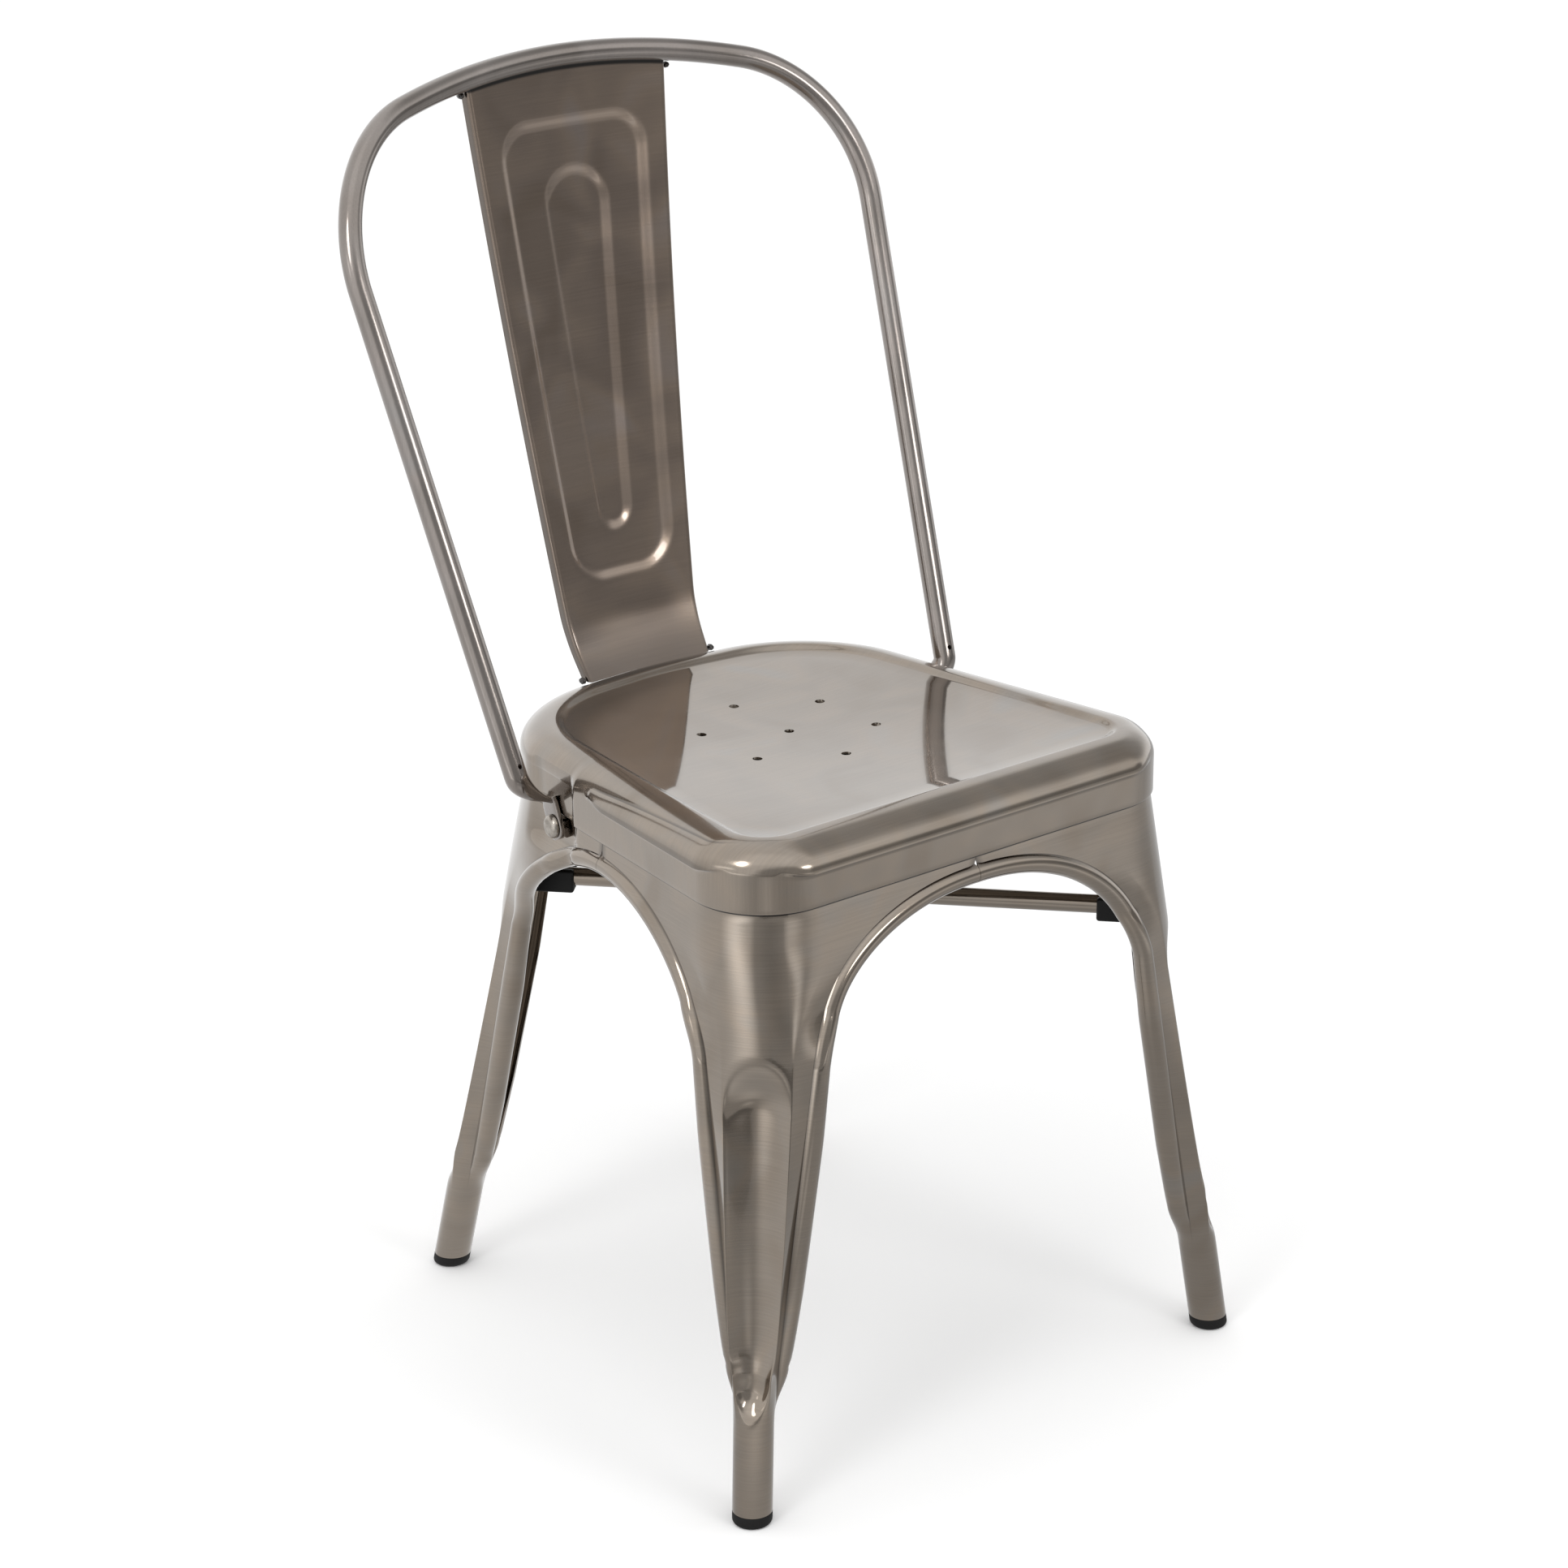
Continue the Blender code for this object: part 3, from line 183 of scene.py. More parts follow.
def ease(value):
    value = np.clip(value, 0, 1)
    return value * value * (3 - 2 * value)


def swell(value):
    # as ease, with no sudden bend at either end, so that what the steel mirrors runs on
    value = np.clip(value, 0, 1)
    return value ** 3 * (value * (6 * value - 15) + 10)


def between(start, end, share):
    return start + (end - start) * share


def unit(vector):
    vector = np.asarray(vector, float)
    return vector / np.linalg.norm(vector, axis=-1, keepdims=True)


def blur(grid, axis, passes):
    # softens pressed edges by averaging each row of points with its neighbours; the ends stay
    grid = np.moveaxis(grid.copy(), axis, 0)
    for _ in range(passes):
        grid[1:-1] = grid[1:-1] / 2 + (grid[:-2] + grid[2:]) / 4
    return np.moveaxis(grid, 0, axis)


# Colours and materials

def linear(hexColour):
    channels = [int(hexColour[k:k + 2], 16) / 255 for k in (1, 3, 5)]
    return (*[c / 12.92 if c <= 0.04045 else ((c + 0.055) / 1.055) ** 2.4 for c in channels], 1)


def addNode(tree, kind, values=None, links=None, steps=None, **settings):
    # steps are the places and colours of a ramp
    node = tree.nodes.new(kind)
    for key, value in settings.items():
        setattr(node, key, value)
    for key, value in (values or {}).items():
        node.inputs[key].default_value = value
    for key, source in (links or {}).items():
        tree.links.new(source, node.inputs[key])
    if steps is not None:
        points = node.color_ramp.elements
        while len(points) < len(steps):
            points.new(0.5)
        for point, (place, colour) in zip(points, steps):
            point.position = place
            point.color = linear(colour)
    return node


def startMaterial(name, **values):
    material = bpy.data.materials.new(name)
    material.use_nodes = True
    shader = material.node_tree.nodes["Principled BSDF"]
    for key, value in values.items():
        shader.inputs[key.replace("_", " ")].default_value = value
    return material, material.node_tree, shader


# Mild steel sheet, linished by hand and sprayed with clear lacquer: a warm grey metal that blurs what it
# mirrors, under a hard gloss that mirrors it again sharply, with bronze and grey patches left by the belt
lacquer = {
    # colours of the patches: most of the chair, the splat, where the belt ran hot, and the hoop's drawn tube
    "tones": ((0.28, "#85796c"), (0.45, "#8b8176"), (0.60, "#918578"), (0.78, "#8d8780")),
    "bronze": ((0.28, "#867668"), (0.45, "#8b7c70"), (0.60, "#918173"), (0.78, "#8d8179")),
    "grey": ((0.28, "#827a74"), (0.45, "#89827d"), (0.60, "#8f8782"), (0.78, "#8d8986")),
    "middle": (0.3, 0.7),      # the part of a noise that is made use of
    "patch": 0.055,            # size of the patches
    "scratch": 0.0009,         # spacing of the belt marks, drawn three times as coarse as real to show
    "scratchRun": 0.045,       # length of a belt mark
    "scratchHeight": 0.00004,
    "scratchBump": 0.2,
    "scratchShades": (0.36, 0.64),
    "scratchTint": 0.18,       # how far the belt marks show in the colour
    "peel": 0.006,             # waves in the lacquer
    "peelHeight": 0.000006,
    "peelBump": 0.5,
    "brushed": (0.08, 0.15),   # roughness at the darkest and the palest patches: the legs
    "pressed": (0.13, 0.21),   # the seat
    "buffing": -0.09,          # what buffing the dish takes off that
    "satin": (0.16, 0.27),     # the splat, hoop and bars
    "sootAndShadow": "#221e1b",         # the dark mixed in for painted shade in creases, folds and gaps, and for grime in a joint
}


def lacqueredSteel(name, run, polish, tones="tones", sootAndShadow=None):
    # run is the way the belt went: marks are long along it. The last argument paints a dark band along a
    # gap: painted shadow, with grime where the gap is a joint. It gives the place and stretch that the
    # band's distance is measured from, and the distances where it is gone and full
    material, tree, shader = startMaterial(name, Metallic=1.0,
                                           Coat_Weight=1.0, Coat_Roughness=0.03, Coat_IOR=1.5)
    place = addNode(tree, "ShaderNodeTexCoord").outputs["Object"]
    used = dict(zip(("From Min", "From Max"), lacquer["middle"]))
    cloudy = {"Scale": 1 / lacquer["patch"], "Detail": 1.0, "Roughness": 0.4, "Distortion": 0.8}
    patches = addNode(tree, "ShaderNodeTexNoise", cloudy, {"Vector": place}).outputs["Fac"]
    shade = addNode(tree, "ShaderNodeValToRGB", links={"Fac": patches}, steps=lacquer[tones])
    scale = [1 / lacquer["scratchRun"] if along else 1 / lacquer["scratch"] for along in run]
    stretched = addNode(tree, "ShaderNodeMapping", {"Scale": scale}, {"Vector": place}).outputs["Vector"]
    marks = addNode(tree, "ShaderNodeTexNoise", {"Scale": 1.0, "Detail": 2.0, "Roughness": 0.6},
                    {"Vector": stretched}).outputs["Fac"]
    low, high = lacquer["scratchShades"]
    grain = addNode(tree, "ShaderNodeMapRange", {**used, "To Min": low, "To Max": high}, {"Value": marks})
    tinted = addNode(tree, "ShaderNodeMix", {"Factor": lacquer["scratchTint"]},
                     {6: shade.outputs["Color"], 7: grain.outputs["Result"]},
                     data_type="RGBA", blend_type="OVERLAY")
    # each piece's own darkening per point: painted shade in creases and folds, and a darkening towards the
    # splat's foot
    darkShare = addNode(tree, "ShaderNodeAttribute", attribute_name="grime").outputs["Fac"]
    if sootAndShadow is not None:
        centre, stretch, gone, full = sootAndShadow
        offset = addNode(tree, "ShaderNodeVectorMath", {1: centre}, {0: place}, operation="SUBTRACT")
        scaled = addNode(tree, "ShaderNodeVectorMath", {1: stretch}, {0: offset.outputs[0]},
                         operation="MULTIPLY")
        away = addNode(tree, "ShaderNodeVectorMath", links={0: scaled.outputs[0]}, operation="LENGTH")
        band = addNode(tree, "ShaderNodeMapRange", {"From Min": gone, "From Max": full},
                       {"Value": away.outputs["Value"]})
        darkShare = addNode(tree, "ShaderNodeMath", links={0: darkShare, 1: band.outputs["Result"]},
                        operation="MAXIMUM").outputs[0]
    darkMixed = addNode(tree, "ShaderNodeMix", {7: linear(lacquer["sootAndShadow"])}, {0: darkShare, 6: tinted.outputs[2]},
                      data_type="RGBA")
    tree.links.new(darkMixed.outputs[2], shader.inputs["Base Color"])
    low, high = lacquer[polish]
    rough = addNode(tree, "ShaderNodeMapRange", {**used, "To Min": low, "To Max": high}, {"Value": patches})
    buffed = addNode(tree, "ShaderNodeAttribute", attribute_name="buffed").outputs["Fac"]
    smoothed = addNode(tree, "ShaderNodeMath", {1: lacquer["buffing"]},
                       {0: buffed, 2: rough.outputs["Result"]}, operation="MULTIPLY_ADD")
    tree.links.new(smoothed.outputs[0], shader.inputs["Roughness"])
    waves = addNode(tree, "ShaderNodeTexNoise", {"Scale": 1 / lacquer["peel"], "Detail": 2.0},
                    {"Vector": place}).outputs["Fac"]
    for relief, kind, socket in ((marks, "scratch", "Normal"), (waves, "peel", "Coat Normal")):
        depth = {"Strength": lacquer[kind + "Bump"], "Distance": lacquer[kind + "Height"]}
        bump = addNode(tree, "ShaderNodeBump", depth, {"Height": relief})
        tree.links.new(bump.outputs["Normal"], shader.inputs[socket])
    return material


def mottledSkin(name, steps, size, detail, rough, bump=None, **values):
    # a finish with one mottle: its colours, size, roughness, and the strength and height of its relief
    material, tree, shader = startMaterial(name, **values)
    place = addNode(tree, "ShaderNodeTexCoord").outputs["Object"]
    mottle = addNode(tree, "ShaderNodeTexNoise", {"Scale": 1 / size, "Detail": detail},
                     {"Vector": place}).outputs["Fac"]
    shade = addNode(tree, "ShaderNodeValToRGB", links={"Fac": mottle}, steps=steps)
    tree.links.new(shade.outputs["Color"], shader.inputs["Base Color"])
    span = addNode(tree, "ShaderNodeMapRange", {"To Min": rough[0], "To Max": rough[1]}, {"Value": mottle})
    tree.links.new(span.outputs["Result"], shader.inputs["Roughness"])
    if bump is not None:
        relief = addNode(tree, "ShaderNodeBump", {"Strength": bump[0], "Distance": bump[1]},
                         {"Height": mottle})
        tree.links.new(relief.outputs["Normal"], shader.inputs["Normal"])
    return material


steelAcross = lacqueredSteel("lacquered_steel_brushed_across", (1, 1, 0), "satin")
steelUp = lacqueredSteel("lacquered_steel_brushed_lengthways", (0, 0, 1), "satin", "grey")
steelSeat = lacqueredSteel("lacquered_steel_brushed_seat", (1, 0, 1), "pressed")
# Rubber and nylon from a spark-eroded mould: a dull black skin with a fine grain
rubber = mottledSkin("moulded_black_rubber", ((0.3, "#0b0b0b"), (0.7, "#141313")), 0.0008, 3.0, (0.58, 0.74),
                     (0.4, 0.0001), Metallic=0.0, IOR=1.5, Specular_IOR_Level=0.3)
nylon = mottledSkin("moulded_black_nylon", ((0.3, "#080808"), (0.7, "#0e0e0e")), 0.0006, 3.0, (0.42, 0.58),
                    (0.4, 0.0001), Metallic=0.0, IOR=1.5, Specular_IOR_Level=0.3)
# Bright zinc on a turned bolt: paler than the sheet, with a cloudy bloom
zinc = mottledSkin("bright_zinc_plate", ((0.35, "#938c84"), (0.65, "#b3ada5")), 0.004, 4.0, (0.16, 0.34),
                   Metallic=1.0)
# Weld metal left as it froze: near black scale with a blue-brown sheen, lacquered over
scorch = mottledSkin("scorched_weld_bead", ((0.35, "#1b1817"), (0.6, "#3a3330"), (0.75, "#4a4f5c")),
                     0.0012, 3.0, (0.35, 0.6), (0.6, 0.0003),
                     Metallic=0.9, Coat_Weight=1.0, Coat_Roughness=0.08)
print("finishes mixed")


# Seat pan

seat = {
    # the skirt seen from above
    "height": 0.4287, "front": 0.1880, "rear": 0.1630, "rearCorner": 0.1500, "frontHalf": 0.1902,
    "taper": 0.124, "frontRadius": 0.050, "rearRadius": 0.110, "crownRadius": 0.300, "arcSteps": 81,
    "seamY": -0.0140, "tabY": 0.0470,
    # the rim's plain round, the skirt and the dish
    "rimRise": 0.0095, "rimWidth": 0.031, "rimRoll": 0.024, "rimDepth": 0.0172, "skirtDrop": 0.0327,
    "hem": 0.0007, "dishSag": 0.0065, "dishSoften": 60, "dishMiddle": 0.04, "buffedSlope": 0.5,
    # the roll between its two creases, and the painted shade in them and on the roll's lower half at the
    # sides
    "bulge": 0.0035, "creaseInset": 0.0125, "creaseDip": 0.0005, "rollLead": 32, "flatten": 0.55,
    "rollDrop": 0.0182, "rollReturn": 0.0014, "tipInset": 0.0022, "sideInset": 0.0100,
    "rollStart": 0.0450, "rollGrow": 0.026, "cornerClear": 0.010, "cornerFade": 0.030,
    "creaseShade": 0.6, "rollShade": 0.3, "sideShade": 0.45,
    # the pocket for a tab of the hoop
    "pocketDepth": 0.0040, "pocketFlat": 0.0182, "pocketFront": 0.0100, "pocketRear": 0.0240,
    "pocketFade": 0.0120,
    # rows of points from the middle out and down, and columns round half the seat, crowded at the pocket
    "dishRows": 12, "slopeRows": 9, "flatRows": 9, "rollRows": 20, "returnRows": 8, "skirtRows": 8,
    "hemRows": 5, "columns": 290, "samples": 4000, "crowd": 3, "crowdReach": 0.008,
    # six drain holes round a seventh
    "drainRadius": 0.0034, "drainRing": 0.0589, "drainCount": 6, "drainSides": 32, "drillDrop": 0.005,
    "drillLength": 0.008,
}
skirtZ = seat["height"] - seat["skirtDrop"]
crestZ = seat["height"] + seat["rimRise"]
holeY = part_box("seat_pan")[0].y + seat["front"] + seat["bulge"]


def cornerArc(before, corner, after, radius, count):
    into = unit(corner - before)
    out = unit(after - corner)
    turn = math.acos(float(into @ out))
    normal = np.array((into[1], -into[0]))
    centre = corner - into * radius * math.tan(turn / 2) - normal * radius
    angle = np.linspace(0, turn, count)[:, None]
    swung = normal * np.cos(angle) + np.array((-normal[1], normal[0])) * np.sin(angle)
    return centre + swung * radius, swung


def skirtOutline():
    # right half of the skirt seen from above, from the middle of the front to the middle of the rear
    steps = seat["arcSteps"]
    rearHalf = seat["frontHalf"] - seat["taper"] * (seat["front"] + seat["rearCorner"])
    start = np.array((0.0, -seat["front"]))
    front = np.array((seat["frontHalf"], -seat["front"]))
    rear = np.array((rearHalf, seat["rearCorner"]))
    slope = math.atan2(seat["rear"] - seat["rearCorner"], rearHalf)
    apex = np.array((0.0, seat["rear"] + seat["crownRadius"] * (1 / math.cos(slope) - 1)))
    frontArc = cornerArc(start, front, rear, seat["frontRadius"], steps)
    rearArc = cornerArc(front, rear, apex, seat["rearRadius"], steps)
    whole = cornerArc(rear, apex, rear * (-1, 1), seat["crownRadius"], 2 * steps - 1)
    crown = [both[:steps] for both in whole]
    points = np.concatenate(([start], frontArc[0], rearArc[0], crown[0]))
    normals = np.concatenate(([(0.0, -1.0)], frontArc[1], rearArc[1], crown[1]))
    length = np.concatenate(([0], np.cumsum(np.linalg.norm(np.diff(points, axis=0), axis=1))))
    return {
        "points": points, "normals": normals, "length": length, "end": length[-1],
        "frontCorner": length[1 + steps // 2], "rearCorner": length[1 + steps + steps // 2],
        "seam": float(np.interp(seat["seamY"], points[:, 1], length)),
        "tab": float(np.interp(seat["tabY"], points[:, 1], length)),
    }


outline = skirtOutline()


def outlinePlace(s):
    return np.stack([np.interp(s, outline["length"], outline["points"][:, k]) for k in (0, 1)], -1)


def outlineNormal(s):
    return unit(np.stack([np.interp(s, outline["length"], outline["normals"][:, k]) for k in (0, 1)], -1))


def pocketPress(s):
    # share of the pocket's depth where a tab of the hoop lies
    away = np.abs(s - outline["tab"]) - seat["pocketFlat"]
    ramp = np.where(s < outline["tab"], seat["pocketFront"], seat["pocketRear"])
    return 1 - ease(away / ramp)


def dishLevel(x, y):
    # level of the shallow dish: a smooth hollow that comes up to the foot of the rim on every side
    front, rear = seat["rimWidth"] - seat["front"], seat["rear"] - seat["rimWidth"]
    half = seat["frontHalf"] - seat["taper"] * (y + seat["front"]) - seat["rimWidth"]
    lengthways = (2 * y - front - rear) / (rear - front)
    return seat["height"] + seat["dishSag"] * (1 - (1 - (x / half) ** 2) * (1 - lengthways ** 2))


def roundedRim(inset):
    # level of the rim's plain quarter-round at an inset from the skirt
    run = 1 - np.clip(inset, 0, seat["rimRoll"]) / seat["rimRoll"]
    return crestZ - seat["rimDepth"] * (1 - np.sqrt(1 - run ** 2))


def rimSection(s):
    # sections of the pan at places s, from the crest of its rim outward: insets, levels, each row's share of
    # the pocket and its painted shade. Along the front and the front half of each side the round swells into
    # a roll
    tip = outline["tab"] - seat["rollStart"]
    grown = np.sqrt(1 - (1 - np.clip((tip - s) / seat["rollGrow"], 0, 1)) ** 2)
    climb = np.clip((tip - s) / (tip - outline["frontCorner"]), 0, 1)
    onSide = s > outline["frontCorner"]
    sideCrease = between(seat["tipInset"], seat["sideInset"], climb)
    crease = np.where(onSide, sideCrease, seat["creaseInset"])
    flatten = seat["flatten"] * climb
    kept = ease((np.abs(s - outline["frontCorner"]) - seat["cornerClear"]) / seat["cornerFade"])
    tipZ = roundedRim(seat["tipInset"])
    lowZ = between(tipZ, crestZ - seat["rollDrop"], grown)
    bulge = seat["bulge"] * grown
    insets, levels, press, grime = [], [], [], []

    def row(plain, rolled, share, dark=0.0):
        insets.append(between(plain[0], rolled[0], kept))
        levels.append(between(plain[1], rolled[1], kept))
        press.append(share)
        grime.append(dark * grown ** 3 * kept)

    crest = (seat["rimRoll"], crestZ)
    row(crest, crest, 0.0)
    flat, rolling, back = seat["flatRows"], seat["rollRows"], seat["returnRows"]
    turns = flat + rolling + back
    lead = math.radians(seat["rollLead"])
    for k in range(1, turns + 1):
        angle = math.pi / 2 * k / turns
        plain = (seat["rimRoll"] * (1 - math.sin(angle)), crestZ - seat["rimDepth"] * (1 - math.cos(angle)))
        dark = 0.0
        if k <= flat:
            share = k / flat
            inset = seat["rimRoll"] * (1 - np.sin(np.arcsin(1 - crease / seat["rimRoll"]) * share))
            # painted shade in the upper crease at the sides
            dark = seat["creaseShade"] * (k == flat) * onSide
            level = between(roundedRim(inset), crestZ, flatten)
            creaseZ = level - seat["creaseDip"] * grown * share ** 6
            rolled = (inset, creaseZ)
        elif k <= flat + rolling:
            share = (k - flat) / rolling
            inset = crease * (1 - math.sin(math.pi / 2 * share))
            swing = between(lead, math.pi / 2, share)
            swollen = crease - (crease + bulge) * (math.sin(swing) - math.sin(lead)) / (1 - math.sin(lead))
            level = between(lowZ, creaseZ, math.cos(swing) / math.cos(lead))
            lastZ = between(roundedRim(inset), level, grown)
            rolled = (between(inset, swollen, grown), lastZ)
            # painted shade on the lower half of the roll at the sides
            dark = seat["sideShade"] * ease(2 * share - 1) * onSide
        else:
            share = (k - flat - rolling) / back
            rolled = (-bulge * grown * (1 - ease(share)), lastZ - seat["rollReturn"] * share)
            # painted shade where the roll turns back under itself
            dark = np.where(onSide, seat["sideShade"] * (1 - ease(share)), seat["rollShade"])
        row(plain, rolled, math.sin(angle), dark)
    foot = skirtZ + seat["hem"]
    ends = (plain[1], rolled[1])
    for share in np.linspace(0, 1, seat["skirtRows"] + 1)[1:]:
        plain, rolled = [(0.0, between(end, foot, share)) for end in ends]
        row(plain, rolled, 1.0)
    for angle in np.linspace(0, math.pi / 2, seat["hemRows"] + 1)[1:]:
        edge = (seat["hem"] * (1 - math.cos(angle)), foot - seat["hem"] * math.sin(angle))
        row(edge, edge, 1.0)
    return [np.array(part) for part in (insets, levels, press, grime)]


def closeDish(piece):
    # fills the middle of the dish: of the two open edges, the upper one
    only(piece)
    bpy.ops.object.mode_set(mode="EDIT")
    bpy.ops.mesh.select_mode(type="EDGE")
    bpy.ops.mesh.select_all(action="DESELECT")
    bpy.ops.mesh.select_non_manifold(extend=False)
    bpy.ops.object.mode_set(mode="OBJECT")
    for edge in piece.data.edges:
        if piece.data.vertices[edge.vertices[0]].co.z < (skirtZ + seat["height"]) / 2:
            edge.select = False
    bpy.ops.object.mode_set(mode="EDIT")
    bpy.ops.mesh.edge_face_add()
    bpy.ops.object.mode_set(mode="OBJECT")


def makeSeatPan():
    # columns crowd round the corners and where the pocket drops off
    places = np.linspace(0, outline["end"], seat["samples"])
    heading = np.unwrap(np.arctan2(outline["normals"][:, 1], outline["normals"][:, 0]))
    turned = np.interp(places, outline["length"], heading) - heading[0]
    drop = outline["tab"] - seat["pocketFlat"] - seat["pocketFront"] / 2
    near = np.clip(places - drop, -seat["crowdReach"], seat["crowdReach"])
    weight = places + seat["frontRadius"] * turned + seat["crowd"] * near
    half = np.interp(np.linspace(weight[0], weight[-1], seat["columns"]), weight, places)
    around = np.concatenate((half, half[-2::-1]))
    side = np.concatenate((np.ones(len(half)), -np.ones(len(half) - 1)))
    insets, levels, press, grime = rimSection(around)
    out = -insets - seat["pocketDepth"] * press[:, None] * pocketPress(around)[None]
    flat = outlinePlace(around)[None] + outlineNormal(around)[None] * out[..., None]
    grid = np.stack((flat[..., 0] * side[None], flat[..., 1], levels), -1)
    edge = outlinePlace(around) - outlineNormal(around) * seat["rimWidth"]
    edge = blur(np.stack((edge[:, 0] * side, edge[:, 1]), -1), 0, seat["dishSoften"])
    edge = np.concatenate((edge, dishLevel(edge[:, :1], edge[:, 1:])), -1)
    # the slope leaves the dish at the dish's own pitch and ends level at the crest
    rise = np.linspace(0, 1, seat["slopeRows"] + 1)[:-1, None, None]
    slope = between(edge, grid[0], np.concatenate((rise, rise, ease(rise)), -1))
    widths = [np.linalg.norm(part, axis=-1) for part in (grid[0, :, :2] - edge[:, :2], edge[:, :2])]
    slope[..., 2] += 2 * seat["dishSag"] * (widths[0] / widths[1]) * (rise * (1 - rise) ** 2)[..., 0]
    dish = edge * np.linspace(seat["dishMiddle"], 1, seat["dishRows"] + 1)[:-1, None, None]
    dish[..., 2] = dishLevel(dish[..., 0], dish[..., 1])
    inner = np.concatenate((np.ones(len(dish)), 1 - ease(rise.ravel() / seat["buffedSlope"])))
    buffed = np.concatenate((inner, np.zeros(len(grid))))[:, None] * np.ones(len(around))
    grime = np.concatenate((np.zeros((len(inner), len(around))), grime))
    piece = pressSheet("seatPan", np.concatenate((dish, slope, grid)), grime=grime, buffed=buffed)
    closeLoop(piece, False)
    closeDish(piece)
    faceAway(piece, lambda middles: np.array((0, 0, skirtZ)))
    applyModifier(piece, "SOLIDIFY", thickness=stock["sheet"], offset=-1)
    for k in range(seat["drainCount"] + 1):
        angle = math.pi / 2 + 2 * math.pi * k / seat["drainCount"]
        ring = seat["drainRing"] if k < seat["drainCount"] else 0
        foot = Vector((ring * math.cos(angle), ring * math.sin(angle), seat["height"] - seat["drillDrop"]))
        top = foot + Vector((0, 0, seat["drillLength"]))
        cutWith(piece, rodAlong("drain", foot, top, seat["drainRadius"], seat["drainSides"]))
    return finishPiece(piece, "seat_pan", steelSeat, 42)


makeSeatPan()
print("seat pan pressed")


# Hoop sizes that the legs share: the tab lies in a pocket of the skirt and of the rear leg

hoop = {
    "radius": 0.00775, "rise": 0.4183, "footRise": -0.0020, "footHalf": 0.1853, "footY": 0.0538,
    "bend": 0.0110, "splay": 0.0938, "rake": 0.3722, "shoulder": 0.095, "crown": 0.630, "bow": 0.0264,
    "tabHalf": 0.0088, "tabThick": 0.0040, "tabLean": 27, "tabRise": 0.0184, "tabEnd": 0.0095,
    "tabSquare": 5.0, "boltDrop": 0.0410, "boltRadius": 0.0030, "vent": 0.0016,
    # where along its lower bend the tab turns into round tube
    "roundsFrom": 0.10, "roundsOver": 0.80,
    # how far the drill for the bolt runs behind the wall and before it
    "legDrill": (0.008, 0.004), "tabDrill": (0.004, 0.012), "holeSides": 24,
    "sides": 40, "straightSteps": 24, "shoulderSteps": 48, "crownSteps": 24, "bendSteps": 24,
    "tabEndShares": (0.985, 0.95, 0.88, 0.78, 0.65, 0.5, 0.3, 0.0), "tabShares": (0.25, 0.5, 0.75, 1.0),
}


def tabFrame(side=1):
    # wall behind a tab at its bolt, the wall's outward normal, and the way up the leaning tab
    x, y = outlineNormal(outline["tab"])
    wall = outlinePlace(outline["tab"]) - np.array((x, y)) * seat["pocketDepth"]
    lean = math.radians(hoop["tabLean"])
    up = np.array((-y * math.sin(lean), x * math.sin(lean), math.cos(lean)))
    parts = (np.array((*wall, seat["height"] - hoop["boltDrop"])), np.array((x, y, 0.0)), up)
    return [part * (side, 1, 1) for part in parts]


def drillForBolt(piece, side, reach):
    spot, out, _ = tabFrame(side)
    bore = hoop["boltRadius"] + stock["fit"]
    cutWith(piece, rodAlong("drill", spot - out * reach[0], spot + out * reach[1], bore, hoop["holeSides"]))


# Legs

shape = {
    "tuck": 0.0150, "cornerReach": 0.0105, "blendDrop": 0.020, "crowd": 0.4, "archStep": 4,
    # half widths and reaches of the creases and of the ridges beside the flute, at the knee and at the ankle
    "kneeDrop": 0.1317, "kneeHalf": 0.0340, "kneeReach": -0.0030, "kneeRidge": 0.0225,
    "kneeRidgeReach": 0.0058, "ankle": 0.100, "ankleHalf": 0.0150, "ankleReach": -0.0033,
    "ankleRidge": 0.0122, "ankleRidgeReach": 0.0107,
    "fluteTopDrop": 0.1227, "fluteDepth": 0.0070, "fluteShoulder": 0.036,
    "fluteFoot": 0.071, "fluteFootLength": 0.024, "fluteFootShoulder": 0.014,
    "tubeTop": 0.064, "footRadius": 0.01296, "slit": 0.0010, "ridgeAngle": 50.4, "creaseAngle": 104.4,
    "bead": 0.0067, "shinBead": 0.0078, "ankleBead": 0.0070, "beadTurn": 0.050, "beadTurnPower": 0.4,
    "beadStart": 156, "beadSwing": 216, "kneeBeadAngle": 50, "ankleBeadAngle": 10,
    # the last of these is painted shade in the creases beside the beads
    "beadFades": (0, 0.25, 0.75, 1), "creaseShade": 0.6,
    # half height of the dark line under the skirt's edge, painted shadow of the gap with grime in the joint,
    # and where in it the dark is full
    "sootAndShadow": 0.0008, "sootAndShadowFull": 0.0003,
    # columns and rows of points
    "wing": 26, "corner": 36, "around": 16, "pocketColumns": (9, 13),
    "tuckRows": 6, "sweep": 60, "calf": 0.25, "tubeMiddle": 0.055, "lowRows": (16, 25, 18, 7),
    "soften": 1, "depth": 0.05,
}
legs = {
    "front": {"seams": (0.0, outline["seam"]), "corner": outline["frontCorner"],
              "foot": (0.2040, -0.2067), "shift": -0.0044, "drops": (0.0060, 0.0095), "powers": (2.2, 1.95)},
    "rear": {"seams": (outline["seam"], outline["end"]), "corner": outline["rearCorner"],
             "foot": (0.1459, 0.2112), "shift": 0.0, "drops": (0.0095, 0.0080), "powers": (1.95, 2.2)},
}
cap = {"height": 0.0078, "edge": 0.0028, "stem": 0.016, "slack": 0.0005, "soft": 0.0004, "sides": 64}
kneeZ = seat["height"] - shape["kneeDrop"]
